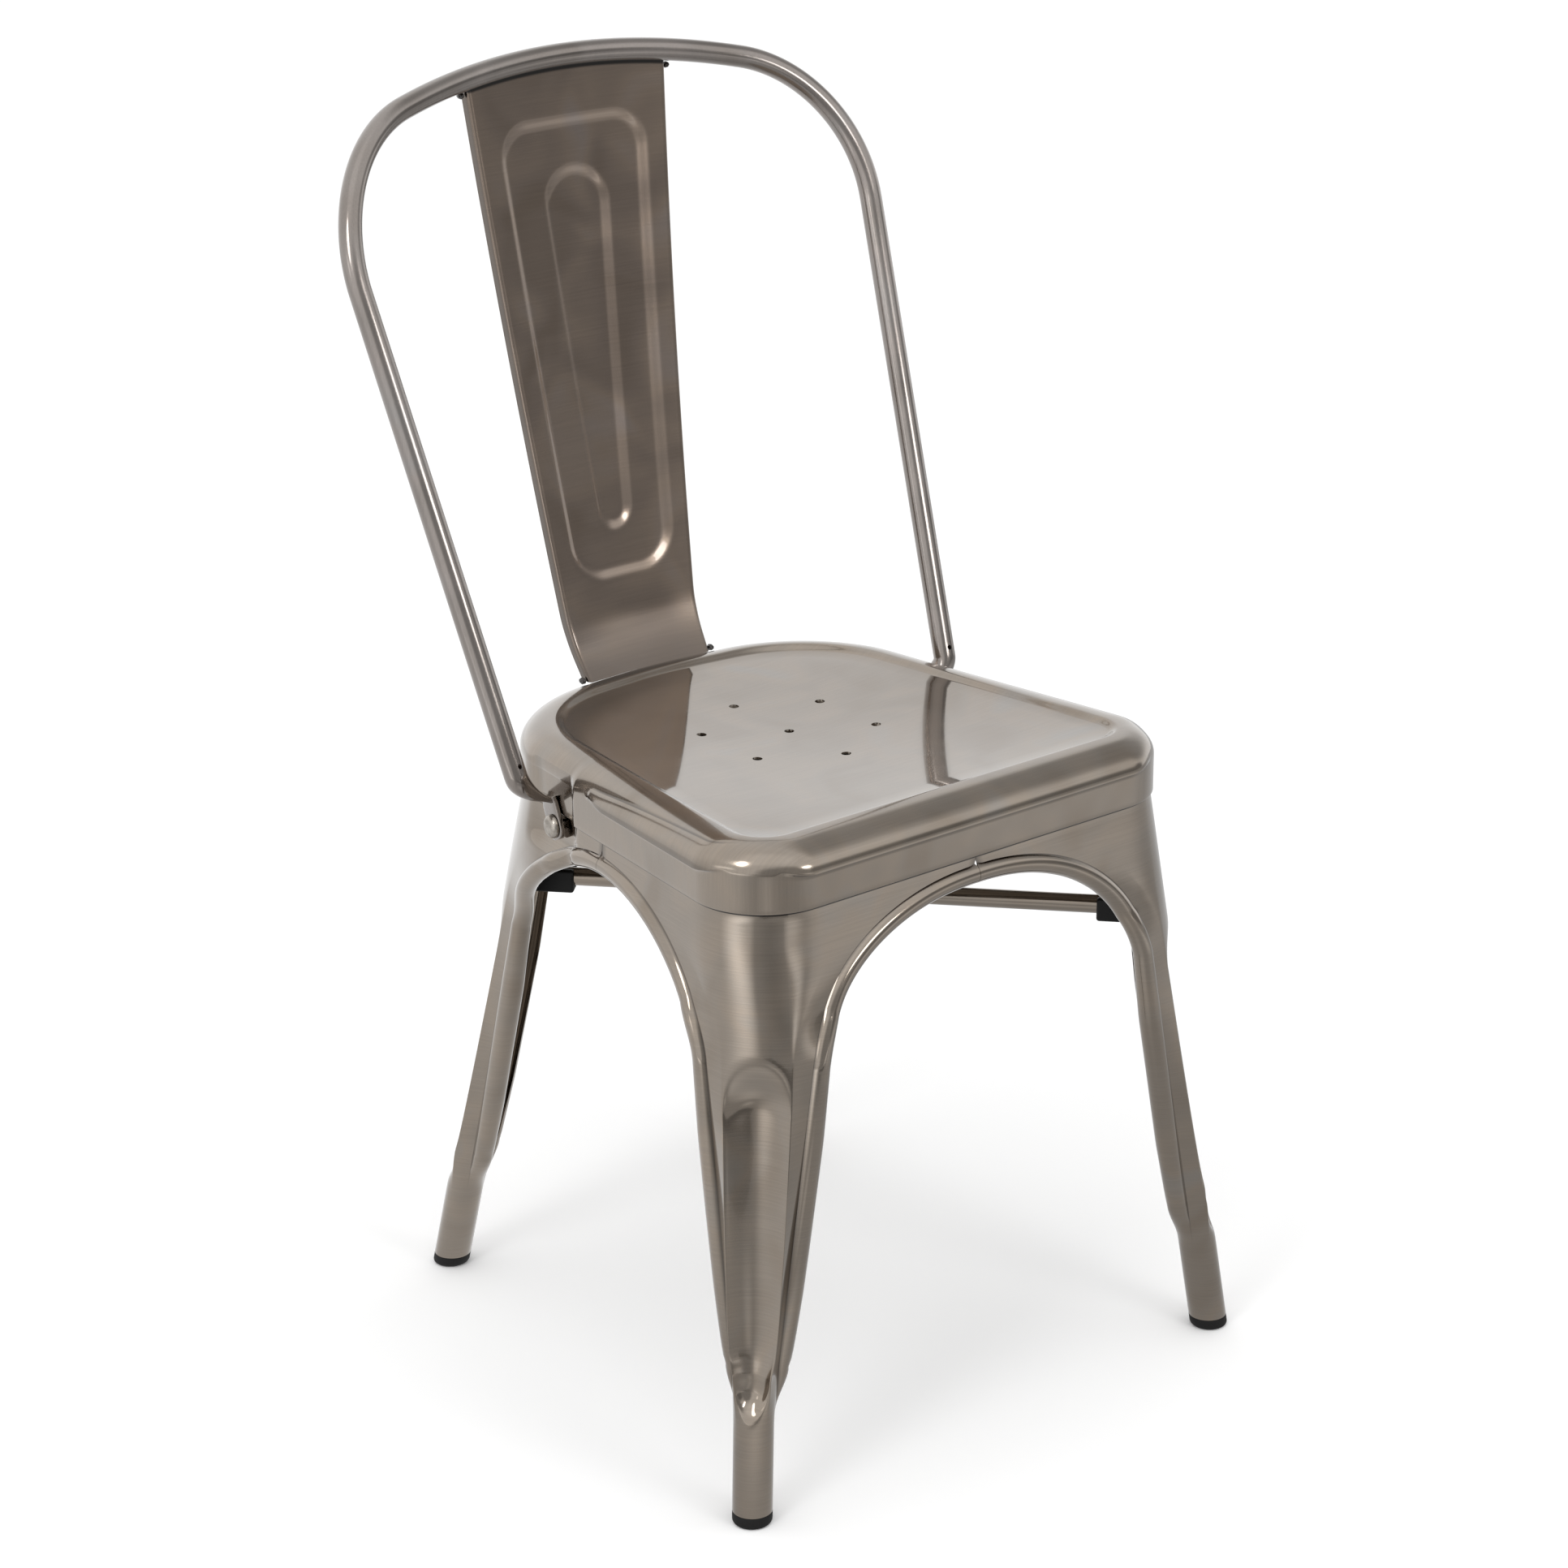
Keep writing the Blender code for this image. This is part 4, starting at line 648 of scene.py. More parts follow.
# the legs are darkened in a band just under the skirt's edge: painted shadow of the gap, with grime in the
# joint
steelLeg = lacqueredSteel("lacquered_steel_brushed_leg", (1, 1, 0), "brushed",
                          sootAndShadow=((0, 0, skirtZ - shape["sootAndShadow"]), (0, 0, 1), shape["sootAndShadow"], shape["sootAndShadowFull"]))
for leg in legs.values():
    leg["out"] = outlineNormal(leg["corner"])
    leg["along"] = np.array((-leg["out"][1], leg["out"][0]))
    inset = shape["cornerReach"] + stock["sheet"] + stock["nest"]
    leg["top"] = outlinePlace(leg["corner"]) - leg["out"] * inset + leg["along"] * leg["shift"]
    leg["lean"] = (np.array(leg["foot"]) - leg["top"]) / skirtZ
    leg["crowns"] = [skirtZ - drop for drop in leg["drops"]]


def withLevel(flat, z):
    return np.concatenate((flat, np.broadcast_to(z, flat.shape[:-1])[..., None]), -1)


def legAxis(leg, z):
    # the leg's leaning middle line
    return between(leg["foot"], leg["top"], z / skirtZ)


def legLocal(leg, a, b, z):
    # a runs round the corner and b out of it, both from the middle line
    z = np.asarray(z, float)
    aside, out = [np.asarray(part)[..., None] for part in (a, b)]
    return withLevel(legAxis(leg, z[..., None]) + leg["along"] * aside + leg["out"] * out, z)


def underSkirt(leg, s, z):
    # the leg's face where it carries on from the skirt, leaning out below it
    normal = outlineNormal(s)
    tabEnd = seat["height"] - hoop["boltDrop"] - hoop["tabEnd"] - stock["sheet"]
    press = pocketPress(s) * (1 - ease((tabEnd - z) / seat["pocketFade"]))
    leaning = np.maximum(normal @ leg["lean"], 0) * np.maximum(skirtZ - z, 0)
    out = leaning * (1 - press) - stock["sheet"] - stock["nest"] - seat["pocketDepth"] * press
    return withLevel(outlinePlace(s) + normal * np.asarray(out)[..., None], z)


def shinRise(z):
    return np.clip((z - shape["ankle"]) / (kneeZ - shape["ankle"]), 0, 1)


def shinSize(part, rise):
    return between(shape["ankle" + part], shape["knee" + part], rise)


def creaseAt(leg, side, z, share):
    # where the bead starts on one side; share is how far the arch has swept from its seam to the leg
    sign = (-1, 1)[side]
    rise = shinRise(z)
    if z <= kneeZ:
        return legLocal(leg, sign * shinSize("Half", rise), shinSize("Reach", rise), z), None
    knee = legLocal(leg, sign * shape["kneeHalf"], shape["kneeReach"], kneeZ)
    ankle = legLocal(leg, sign * shape["ankleHalf"], shape["ankleReach"], shape["ankle"])
    seam = leg["seams"][side]
    normal = outlineNormal(seam)
    tangent = -sign * np.array((-normal[1], normal[0]))
    span = float((knee[:2] - outlinePlace(seam)) @ tangent)
    splay = (float((ankle[:2] - outlinePlace(seam)) @ tangent) - span) / (kneeZ - shape["ankle"])
    s = seam - sign * ((span - splay * (z - kneeZ)) * share + stock["fit"] / 2)
    step = knee - underSkirt(leg, seam - sign * (span + stock["fit"] / 2), kneeZ)
    return underSkirt(leg, s, z) + step * share ** shape["archStep"], s


def legRows(leg):
    # down the leg: levels at the first and the last crease, and the shares of the two arches swept
    rows = []
    border = skirtZ + shape["tuck"]
    for k in range(shape["tuckRows"]):
        levels = [between(border, crown, k / shape["tuckRows"]) for crown in leg["crowns"]]
        rows.append(levels + [0.0, 0.0])
    for k in range(shape["sweep"] + 1):
        angle = math.pi / 2 * k / shape["sweep"]
        climbs = [abs(math.cos(angle)) ** (2 / power) for power in leg["powers"]]
        shares = [math.sin(angle) ** (2 / power) for power in leg["powers"]]
        levels = [between(kneeZ, crown, climb) for crown, climb in zip(leg["crowns"], climbs)]
        rows.append(levels + shares)
    marks = (kneeZ, shape["calf"], shape["ankle"], shape["tubeMiddle"], cap["height"] + stock["fit"])
    for high, low, count in zip(marks, marks[1:], shape["lowRows"]):
        rows += [[z, z, 1.0, 1.0] for z in np.linspace(high, low, count + 1)[1:]]
    return rows


def legSteps(leg):
    # columns from crease to crease: to 1 on the first wing, to 2 round the corner and to 3 on the last wing
    first = list(np.linspace(0, 1, shape["wing"] + 1)[:-1])
    run = leg["corner"] - shape["kneeRidge"] - leg["seams"][0]
    if leg["seams"][0] < outline["tab"] < leg["seams"][0] + run:
        counts = shape["pocketColumns"]
        front = outline["tab"] - seat["pocketFlat"] - np.linspace(1, 0, counts[0]) * seat["pocketFront"]
        rear = outline["tab"] + seat["pocketFlat"] + np.linspace(0, 1, counts[1]) * seat["pocketRear"]
        close = (np.concatenate((front, rear)) - leg["seams"][0]) / run
        apart = 0.5 / shape["wing"]
        first = sorted([k for k in first if np.abs(close - k).min() > apart or k == 0] + list(close))
    turn = 1 + np.linspace(0, 1, shape["corner"] + 1)[:-1]
    return np.concatenate((first, turn, 2 + np.linspace(0, 1, shape["wing"] + 1)))


def columnLength(leg, steps, first, last):
    # a column keeps its place under the skirt until a crease pushes it on
    left = leg["corner"] - shape["kneeRidge"]
    right = leg["corner"] + shape["kneeRidge"]
    start, end = leg["seams"]
    back = 3 - steps
    fore = np.maximum(between(start, left, steps), between(first, left, steps * shape["crowd"]))
    aft = np.minimum(between(end, right, back), between(last, right, back * shape["crowd"]))
    return np.where(steps < 1, fore, np.where(steps > 2, aft, between(left, right, steps - 1)))


def tubePoint(leg, share, z):
    # the round foot tube, with share from -2.5 to 2.5 all the way round from slit to slit
    slit = shape["slit"] / shape["footRadius"] / 2
    turns = (0, math.radians(shape["ridgeAngle"]), math.radians(shape["creaseAngle"]), math.pi - slit)
    angle = np.copysign(np.interp(np.abs(share), (0, 0.5, 1.5, 2.5), turns), share)
    return legLocal(leg, shape["footRadius"] * np.sin(angle), shape["footRadius"] * np.cos(angle), z)


def beadStrip(leg, skin, rows, side, first, lengths):
    # a half-round bead rolled beside one crease, from its seam down to the foot
    edge, sign = ((0, -1), (-1, 1))[side]
    strip = np.zeros((len(rows), shape["around"] + 1, 3))
    begin = math.radians(shape["beadStart"])
    angle = begin - math.radians(shape["beadSwing"]) * np.linspace(0, 1, shape["around"] + 1)[:, None]
    for i in range(len(rows)):
        spot = skin[i, edge]
        x, y = outlineNormal(lengths[i]) if lengths[i] is not None else leg["out"]
        lean = max(float(leg["lean"] @ (x, y)), 0)
        if i <= first:
            run = -sign * np.array((-y, x, 0.0))
        else:
            run = unit(skin[min(i + 1, len(rows) - 1), edge] - skin[i - 1, edge])
        away = unit(sign * np.cross(unit((x, y, lean)), run))
        radius = shape["bead"]
        below = float(ease((kneeZ + shape["beadTurn"] - spot[2]) / shape["beadTurn"]))
        if below > 0:
            rise = float(shinRise(spot[2]))
            swing = shape["kneeBeadAngle"] - shape["ankleBeadAngle"]
            turn = math.radians(shape["ankleBeadAngle"] + swing * rise ** shape["beadTurnPower"])
            shin = np.append(leg["along"] * sign * math.sin(turn) - leg["out"] * math.cos(turn), 0)
            radii = (shape["ankleBead"], shape["shinBead"], shape["shinBead"], shape["bead"])
            radius = float(np.interp(rise, shape["beadFades"], radii))
            away = unit(away * (1 - below) + shin * below)
            away = unit(away - run * (away @ run))
        out = np.cross(run, away)
        out = unit(out * np.sign(out[:2] @ spot[:2]))
        strip[i] = spot + away * radius * (np.cos(angle) - math.cos(begin))
        strip[i] += out * radius * (np.sin(angle) - math.sin(begin))
    return strip


def legGrid(leg):
    rows = legRows(leg)
    steps = legSteps(leg)
    first = shape["tuckRows"]
    turn = np.clip(2 * (steps - 1.5), -1, 1)
    crowned = 1 - turn ** 2
    skin = np.zeros((len(rows), len(steps), 3))
    dent = np.zeros(skin.shape[:2])
    lengths = ([], [])
    for i, (start, end, *shares) in enumerate(rows):
        creases = [creaseAt(leg, side, (start, end)[side], shares[side]) for side in (0, 1)]
        for side in (0, 1):
            lengths[side].append(creases[side][1])
        z = between(start, end, steps / 3)
        ridge, reach = [shinSize(part, np.sqrt(shinRise(z))) for part in ("Ridge", "RidgeReach")]
        proud = between(reach, shape["cornerReach"], crowned)
        low = legLocal(leg, ridge * turn, proud, z)
        low = between(low, creases[0][0], np.clip(1 - steps, 0, 1)[:, None])
        low = between(low, creases[1][0], np.clip(steps - 2, 0, 1)[:, None])
        low[:, 2] = z
        top = seat["height"] - shape["fluteTopDrop"] - ridge * (1 - np.sqrt(crowned))
        foot = shape["fluteFoot"] + shape["fluteFootLength"] * (1 - np.sqrt(crowned))
        dent[i] = proud - reach + shape["fluteDepth"] * crowned
        dent[i] *= swell((top - z) / shape["fluteShoulder"]) * swell((z - foot) / shape["fluteFootShoulder"])
        if creases[0][1] is not None and creases[1][1] is not None:
            high = underSkirt(leg, columnLength(leg, steps, creases[0][1], creases[1][1]), z)
            share = ease((skirtZ - shape["blendDrop"] - z) / (skirtZ - shape["blendDrop"] - kneeZ))
            low = between(high, low, share[:, None])
            dent[i] *= share
        skin[i] = low
    strips = [beadStrip(leg, skin, rows, side, first, lengths[side]) for side in (0, 1)]
    level = np.array(rows)[:, :1]
    toTube = ease((shape["ankle"] - level) / (shape["ankle"] - shape["tubeTop"]))[..., None]
    skin = between(skin, tubePoint(leg, steps[None] - 1.5, level), toTube)
    closing = 1.5 + np.linspace(0, 1, shape["around"] + 1)[None]
    for side, sign in ((0, -1), (1, 1)):
        strips[side] = between(strips[side], tubePoint(leg, sign * closing, level), toTube)
    skin[..., :2] -= dent[..., None] * leg["out"]
    skin = blur(blur(skin, 1, shape["soften"]), 0, shape["soften"])
    grid = np.concatenate((strips[0][:, :0:-1], skin, strips[1][:, 1:]), 1)
    keep = np.ones((grid.shape[0] - 1, grid.shape[1] - 1), bool)
    keep[:first, :shape["around"]] = False
    keep[:first, -shape["around"]:] = False
    # painted shade in the two creases beside the beads, gone on the round tube
    grime = np.zeros(grid.shape[:2])
    grime[:, [shape["around"], grid.shape[1] - 1 - shape["around"]]] = shape["creaseShade"]
    return grid, keep, grime * (1 - toTube[..., 0])


def makeLeg(name, leg, sideName, side):
    grid, keep, grime = legGrid(leg)
    piece = pressSheet("%s%sLeg" % (name, sideName.title()), grid * (side, 1, 1), keep, grime=grime)

    def inside(middles):
        deep = legAxis(leg, middles[:, 2:]) - leg["out"] * shape["depth"]
        return np.concatenate((deep * (side, 1), middles[:, 2:]), 1)

    faceAway(piece, inside)
    applyModifier(piece, "SOLIDIFY", thickness=stock["sheet"], offset=-1)
    if name == "rear":
        drillForBolt(piece, side, hoop["legDrill"])
    return finishPiece(piece, "%s_%s_leg" % (name, sideName), steelLeg)


for name, leg in legs.items():
    for sideName, side in sides:
        makeLeg(name, leg, sideName, side)
print("legs pressed")


# Foot caps

def makeFootCap(name, leg, sideName, side):
    label = "%s%sFootCap" % (name, sideName.title())
    piece = startFrom(bpy.ops.mesh.primitive_cylinder_add, label, vertices=cap["sides"],
                      radius=shape["footRadius"], depth=cap["height"], location=(0, 0, cap["height"] / 2))
    settle(piece)
    pickFaces(piece, lambda face: face.normal.z < -0.9)
    bpy.ops.mesh.bevel(offset=cap["edge"], segments=6, affect="EDGES")
    pickFaces(piece, lambda face: face.normal.z > 0.9)
    bpy.ops.mesh.inset(thickness=stock["sheet"] + cap["slack"])
    bpy.ops.mesh.extrude_region_move(TRANSFORM_OT_translate={"value": (0, 0, cap["stem"])})
    bpy.ops.object.mode_set(mode="OBJECT")
    applyModifier(piece, "BEVEL", width=cap["soft"], segments=2, limit_method="ANGLE")
    for vertex in piece.data.vertices:
        x, y = legAxis(leg, vertex.co.z)
        vertex.co.x += side * x
        vertex.co.y += y
    return finishPiece(piece, "%s_%s_foot_cap" % (name, sideName), rubber)


for name, leg in legs.items():
    for sideName, side in sides:
        makeFootCap(name, leg, sideName, side)
print("foot caps moulded")


# Back hoop

crownZ = seat["height"] + hoop["rise"] - hoop["crown"]


def planeY(z):
    # the plane that the hoop leans back in
    return hoop["footY"] + hoop["rake"] * (z - seat["height"] - hoop["footRise"])


def hoopHalf():
    # right half of the hoop's middle line, from the foot of its straight to the crown, and its widest place
    start = np.array((hoop["footHalf"], seat["height"] + hoop["footRise"]))
    up = unit((hoop["splay"], 1.0))
    inward = np.array((-up[1], up[0]))
    crown = np.array((0.0, crownZ))
    base = start + inward * hoop["shoulder"] - crown
    along = float(base @ up)
    run = -along + math.sqrt(along ** 2 - float(base @ base) + (hoop["crown"] - hoop["shoulder"]) ** 2)
    centre = start + up * run + inward * hoop["shoulder"]
    fromAngle = math.atan2(-inward[1], -inward[0])
    toAngle = math.atan2(centre[1] - crown[1], centre[0] - crown[0])
    points = [start + up * run * k / hoop["straightSteps"] for k in range(hoop["straightSteps"])]
    for angle in np.linspace(fromAngle, toAngle, hoop["shoulderSteps"] + 1):
        points.append(centre + hoop["shoulder"] * np.array((math.cos(angle), math.sin(angle))))
    for angle in np.linspace(toAngle, math.pi / 2, hoop["crownSteps"] + 1)[1:]:
        points.append(crown + hoop["crown"] * np.array((math.cos(angle), math.sin(angle))))
    widest = centre[0] + hoop["shoulder"]
    path = []
    for x, z in points:
        bow = hoop["bow"] * (1 - (x / widest) ** 2) if z > start[1] + up[1] * run else 0.0
        path.append(np.array((x, planeY(z) + bow, z)))
    return path, widest


hoopPath, hoopWidest = hoopHalf()


def hoopStations():
    # middle line from the right-hand tab to the crown, each with half thickness, half width and squareness
    wall, normal, up = tabFrame()
    thin = hoop["tabThick"] / 2
    middle = wall + normal * (stock["fit"] + thin)
    stations = []
    for share in hoop["tabEndShares"]:
        wide = hoop["tabHalf"] * (1 - share ** 3) ** (1 / 3)
        stations.append((middle - up * hoop["tabEnd"] * share, thin, wide, hoop["tabSquare"]))
    for share in hoop["tabShares"]:
        stations.append((middle + up * hoop["tabRise"] * share, thin, hoop["tabHalf"], hoop["tabSquare"]))
    start = stations[-1][0]
    end = hoopPath[0]
    lift = unit(normal + up / 2) * hoop["bend"]
    pull = unit(hoopPath[1] - hoopPath[0]) * hoop["bend"]
    for t in np.linspace(0, 1, hoop["bendSteps"] + 1)[1:-1]:
        spot = (1 - t) ** 3 * start + 3 * (1 - t) ** 2 * t * (start + lift)
        spot = spot + 3 * (1 - t) * t ** 2 * (end - pull) + t ** 3 * end
        grown = float(ease((t - hoop["roundsFrom"]) / hoop["roundsOver"]))
        thick, wide = [between(size, hoop["radius"], grown) for size in (thin, hoop["tabHalf"])]
        stations.append((spot, thick, wide, between(hoop["tabSquare"], 2, grown)))
    return stations + [(spot, hoop["radius"], hoop["radius"], 2.0) for spot in hoopPath]


def makeHoop():
    half = hoopStations()
    stations = half + [(spot * (-1, 1, 1), *rest) for spot, *rest in half[-2::-1]]
    normal = tabFrame()[1]
    widest = max(station[0][0] for station in half)
    taper = normal[1] / normal[0] * widest / half[0][0][0]
    turn = 2 * np.pi * (np.arange(hoop["sides"] + 1) + 0.5) / hoop["sides"]
    grid = np.zeros((len(stations), hoop["sides"] + 1, 3))
    for i, (spot, thick, wide, square) in enumerate(stations):
        ahead = unit(stations[min(i + 1, len(stations) - 1)][0] - stations[max(i - 1, 0)][0])
        lengthways = np.array((-taper * spot[0] / widest, 1.0, 0.0))
        broad = unit(lengthways - ahead * (lengthways @ ahead))
        thinWay = np.cross(ahead, broad)
        across = np.sign(np.cos(turn)) * np.abs(np.cos(turn)) ** (2 / square)
        through = np.sign(np.sin(turn)) * np.abs(np.sin(turn)) ** (2 / square)
        grid[i] = spot + broad * (wide * across)[:, None] + thinWay * (thick * through)[:, None]
    piece = pressSheet("backHoop", grid)
    closeLoop(piece, True)
    for _, side in sides:
        spot = hoopPath[0] * (side, 1, 1) + (0, 0, hoop["radius"])
        front = spot - (0, 2 * hoop["radius"], 0)
        cutWith(piece, rodAlong("vent", front, spot, hoop["vent"], hoop["holeSides"]))
        drillForBolt(piece, side, hoop["tabDrill"])
    return finishPiece(piece, "back_hoop", steelUp)


makeHoop()
print("hoop bent")


# Bolts, washers and nuts

fixing = {
    "headRadius": 0.0080, "headHeight": 0.0040, "dome": 0.93, "domeSteps": 10, "spare": 0.0024,
    "shankLap": 0.0008, "nutRadius": 0.0055, "nutHeight": 0.0045, "washerRadius": 0.0062,
    "washerThick": 0.0011, "soft": 0.0003, "overrun": 0.001, "roundSides": 48, "shankSides": 32,
    "nutSides": 6,
}


def makeFixings(sideName, side):
    spot, out, _ = tabFrame(side)
    label = sideName.title()
    headSeat = spot + out * (2 * stock["fit"] + hoop["tabThick"])
    headTop = headSeat + out * fixing["headHeight"]
    washerTop = -(2 * stock["sheet"] + stock["nest"]) - stock["fit"]
    nutTop = washerTop - fixing["washerThick"] - stock["fit"]
    shankEnd = spot + out * (nutTop - fixing["nutHeight"] - fixing["spare"])
    head = rodAlong("hoopBolt" + label, headSeat, headTop, fixing["headRadius"], fixing["roundSides"])
    pickFaces(head, lambda face: face.normal.dot(Vector(out)) > 0.9)
    dome = fixing["headHeight"] * fixing["dome"]
    bpy.ops.mesh.bevel(offset=dome, segments=fixing["domeSteps"], affect="EDGES")
    bpy.ops.object.mode_set(mode="OBJECT")
    shankTop = headSeat + out * fixing["shankLap"]
    shank = rodAlong("shank", shankEnd, shankTop, hoop["boltRadius"], fixing["shankSides"])
    only(head)
    shank.select_set(True)
    bpy.ops.object.join()
    finishPiece(head, "hoop_bolt_" + sideName, zinc)
    bore = hoop["boltRadius"] + stock["fit"]
    for name, node, kind, height, top, corners in (
        ("hoopWasher", "hoop_washer_", "washer", fixing["washerThick"], washerTop, fixing["roundSides"]),
        ("hoopNut", "hoop_nut_", "nut", fixing["nutHeight"], nutTop, fixing["nutSides"]),
    ):
        base = spot + out * (top - height)
        piece = rodAlong(name + label, base, base + out * height, fixing[kind + "Radius"], corners)
        applyModifier(piece, "BEVEL", width=fixing["soft"], segments=2, limit_method="ANGLE")
        ends = (base - out * fixing["overrun"], base + out * (height + fixing["overrun"]))
        cutWith(piece, rodAlong("bore", *ends, bore, fixing["shankSides"]))
        finishPiece(piece, node + sideName, zinc)


for sideName, side in sides:
    makeFixings(sideName, side)
print("bolts set")


# Back splat

splat = {
    "topHalf": 0.0826, "footHalf": 0.0526, "footY": 0.1509, "kinkRise": 0.0333, "kinkY": 0.1680,
    "kinkRound": 0.016, "bow": 0.0045, "sag": 0.0038, "flange": 0.0085, "fold": 0.0034, "lap": 0.0006,
    # the two pressed fields: how far from the top and the foot, half widths above and below, corner radius
    "outer": (0.0360, 0.0640, 0.0590, 0.0395, 0.024), "inner": (0.0690, 0.0950, 0.0255, 0.0115, 0.0255),
    # press depth and ramp, painted shade on the flanges, and how dark and how far up the foot is darkened
    "press": 0.0018, "pressRamp": 0.0095, "flangeShade": 0.6, "footDarkening": 0.6, "footDarkReach": 0.045,
    "sootAndShadow": (0.0026, 0.0012),    # how far below the hoop the painted shadow under it is gone and full
    "rows": 200, "columns": 110, "foldColumns": 8, "flangeColumns": 4,
}
underHoop = hoop["crown"] - hoop["radius"]
# the splat's top edge is darkened under the hoop: painted shadow
steelSplat = lacqueredSteel("lacquered_steel_brushed_splat", (1, 1, 0), "satin", "bronze",
                            ((0, 0, crownZ), (1, 0, 1), *[underHoop - below for below in splat["sootAndShadow"]]))


def rearY(x):
    # the skirt's rear edge, seen from above
    rear = outline["length"] > outline["rearCorner"]
    return np.interp(-np.abs(x), -outline["points"][rear, 0], outline["points"][rear, 1])


def crownAt(x):
    # the hoop's middle line above the splat
    z = crownZ + np.sqrt(hoop["crown"] ** 2 - x ** 2)
    return planeY(z) + hoop["bow"] * (1 - (x / hoopWidest) ** 2), z


def splatFoot(x):
    y = splat["footY"] + splat["bow"] * (1 - (x / splat["footHalf"]) ** 2)
    return roundedRim(rearY(x) - y) + 2 * stock["fit"]


def splatTop(x):
    return crownAt(x)[1] - hoop["radius"] + splat["lap"]


def splatSide(z):
    # side view: a short leaning foot, a rounded kink and a long face that sags back a little
    foot = splatFoot(splat["footHalf"])
    topY, top = crownAt(splat["topHalf"])
    kink = seat["height"] + splat["kinkRise"]
    below = (splat["kinkY"] - splat["footY"]) / (kink - foot)
    above = (topY - stock["sheet"] / 2 - splat["kinkY"]) / (top - kink)
    h = z - kink
    bend = splat["kinkRound"]
    turned = np.clip(h + bend, 0, 2 * bend)
    y = splat["kinkY"] + below * h + (above - below) * (turned ** 2 / (4 * bend) + np.maximum(h - bend, 0))
    share = np.clip(h / (top - kink), 0, 1)
    return y + 4 * splat["sag"] * share * (1 - share)


def pressedField(x, z, top, foot, topHalf, footHalf, corner):
    # share of the pressing's depth in a tapered field with rounded corners
    half = between(footHalf, topHalf, np.clip((z - foot) / (top - foot), 0, 1))
    corner = np.minimum(corner, half)
    px = np.abs(x) - (half - corner)
    pz = np.abs(z - (top + foot) / 2) - ((top - foot) / 2 - corner)
    away = np.hypot(np.maximum(px, 0), np.maximum(pz, 0)) + np.minimum(np.maximum(px, pz), 0) - corner
    return ease(0.5 - away / splat["pressRamp"])


def makeSplat():
    # columns: the face, a rounded fold and a flange turned back at each side
    fold = splat["fold"]
    flat = np.linspace(-1, 1, splat["columns"])
    turn = np.linspace(0, math.pi / 2, splat["foldColumns"] + 1)[1:]
    back = np.linspace(fold, splat["flange"], splat["flangeColumns"] + 1)[1:]
    foldOut = np.concatenate((fold * np.sin(turn), np.full(len(back), fold)))
    foldBack = np.concatenate((fold * (1 - np.cos(turn)), back))
    side = np.concatenate((-np.ones(len(foldOut)), flat, np.ones(len(foldOut))))
    bent = np.concatenate((foldOut[::-1], np.zeros(len(flat)), foldOut))
    behind = np.concatenate((foldBack[::-1], np.zeros(len(flat)), foldBack))
    up = np.linspace(0, 1, splat["rows"])[:, None]
    half = between(splat["footHalf"], splat["topHalf"], up)
    x = side * (half - fold) + np.sign(side) * bent
    share = x / half
    foot = splatFoot(splat["footHalf"] * share)
    z = between(foot, splatTop(splat["topHalf"] * share), up)
    y = splatSide(z) + splat["bow"] * (1 - share ** 2) + behind
    crown = splatTop(0.0)
    low = splatFoot(0.0)
    for top, bottom, topHalf, footHalf, corner in (splat["outer"], splat["inner"]):
        y = y + splat["press"] * pressedField(x, z, crown - top, low + bottom, topHalf, footHalf, corner)
    # darker towards the foot, and painted shade on the fold and the flanges turned back
    darkened = splat["footDarkening"] * (1 - ease((z - foot) / splat["footDarkReach"]))
    grime = np.maximum(splat["flangeShade"] * np.clip(behind / fold, 0, 1), darkened)
    piece = pressSheet("backSplat", np.stack((x, y, z), -1), grime=grime)
    faceAway(piece, lambda middles: middles + (0, 0.1, 0))
    applyModifier(piece, "SOLIDIFY", thickness=stock["sheet"], offset=-1)
    return finishPiece(piece, "back_splat", steelSplat)


makeSplat()
print("splat pressed")


# Weld lumps at the splat's corners

bead = {"radius": 0.0022, "length": 0.0060, "lumps": 0.0005, "lumpsOut": 0.8, "topSeed": 3, "footSeed": 7}


def makeWeld(name, node, place, seed):
    piece = startFrom(bpy.ops.mesh.primitive_ico_sphere_add, name, subdivisions=4, radius=1, location=place)
    piece.scale = (bead["radius"], bead["length"] / 2, bead["radius"])
    settle(piece)
    editAll(piece)
    bpy.ops.transform.vertex_random(offset=bead["lumps"], uniform=1.0, normal=bead["lumpsOut"], seed=seed)
    bpy.ops.mesh.vertices_smooth(factor=0.5, repeat=3)
    bpy.ops.object.mode_set(mode="OBJECT")
    return finishPiece(piece, node, scorch, 60)


def splatEdge(up):
    # a point on the splat's right edge, from its foot at 0 to its top at 1
    half = between(splat["footHalf"], splat["topHalf"], up)
    foot = splatFoot(splat["footHalf"])
    z = between(foot, splatTop(splat["topHalf"]), up)
    return np.array((half, float(splatSide(z)), float(z)))


for number, (sideName, side) in enumerate(sides):
    label = sideName.title()
    beside = bead["radius"] + 2 * stock["fit"]
    edge = splatEdge(1.0)
    under = crownAt(edge[0] + beside)[1] - hoop["radius"] - bead["radius"] - 3 * stock["fit"]
    place = (side * (edge[0] + beside), edge[1] + splat["flange"] / 2, under)
    makeWeld("splatTopWeld" + label, "splat_top_weld_" + sideName, place, bead["topSeed"] + number)
    edge = splatEdge(0.0)
    x = edge[0] + beside + stock["fit"]
    y = edge[1] + splat["flange"] / 2
    reach = np.array((-1, 0, 1)) * bead["length"] / 2
    nearest = roundedRim(rearY(x) - y + reach).max()
    place = (side * x, y, nearest + bead["radius"] + 2 * stock["fit"])
    makeWeld("splatFootWeld" + label, "splat_foot_weld_" + sideName, place, bead["footSeed"] + number)
print("welds laid")


# Cross brace and its bumpers

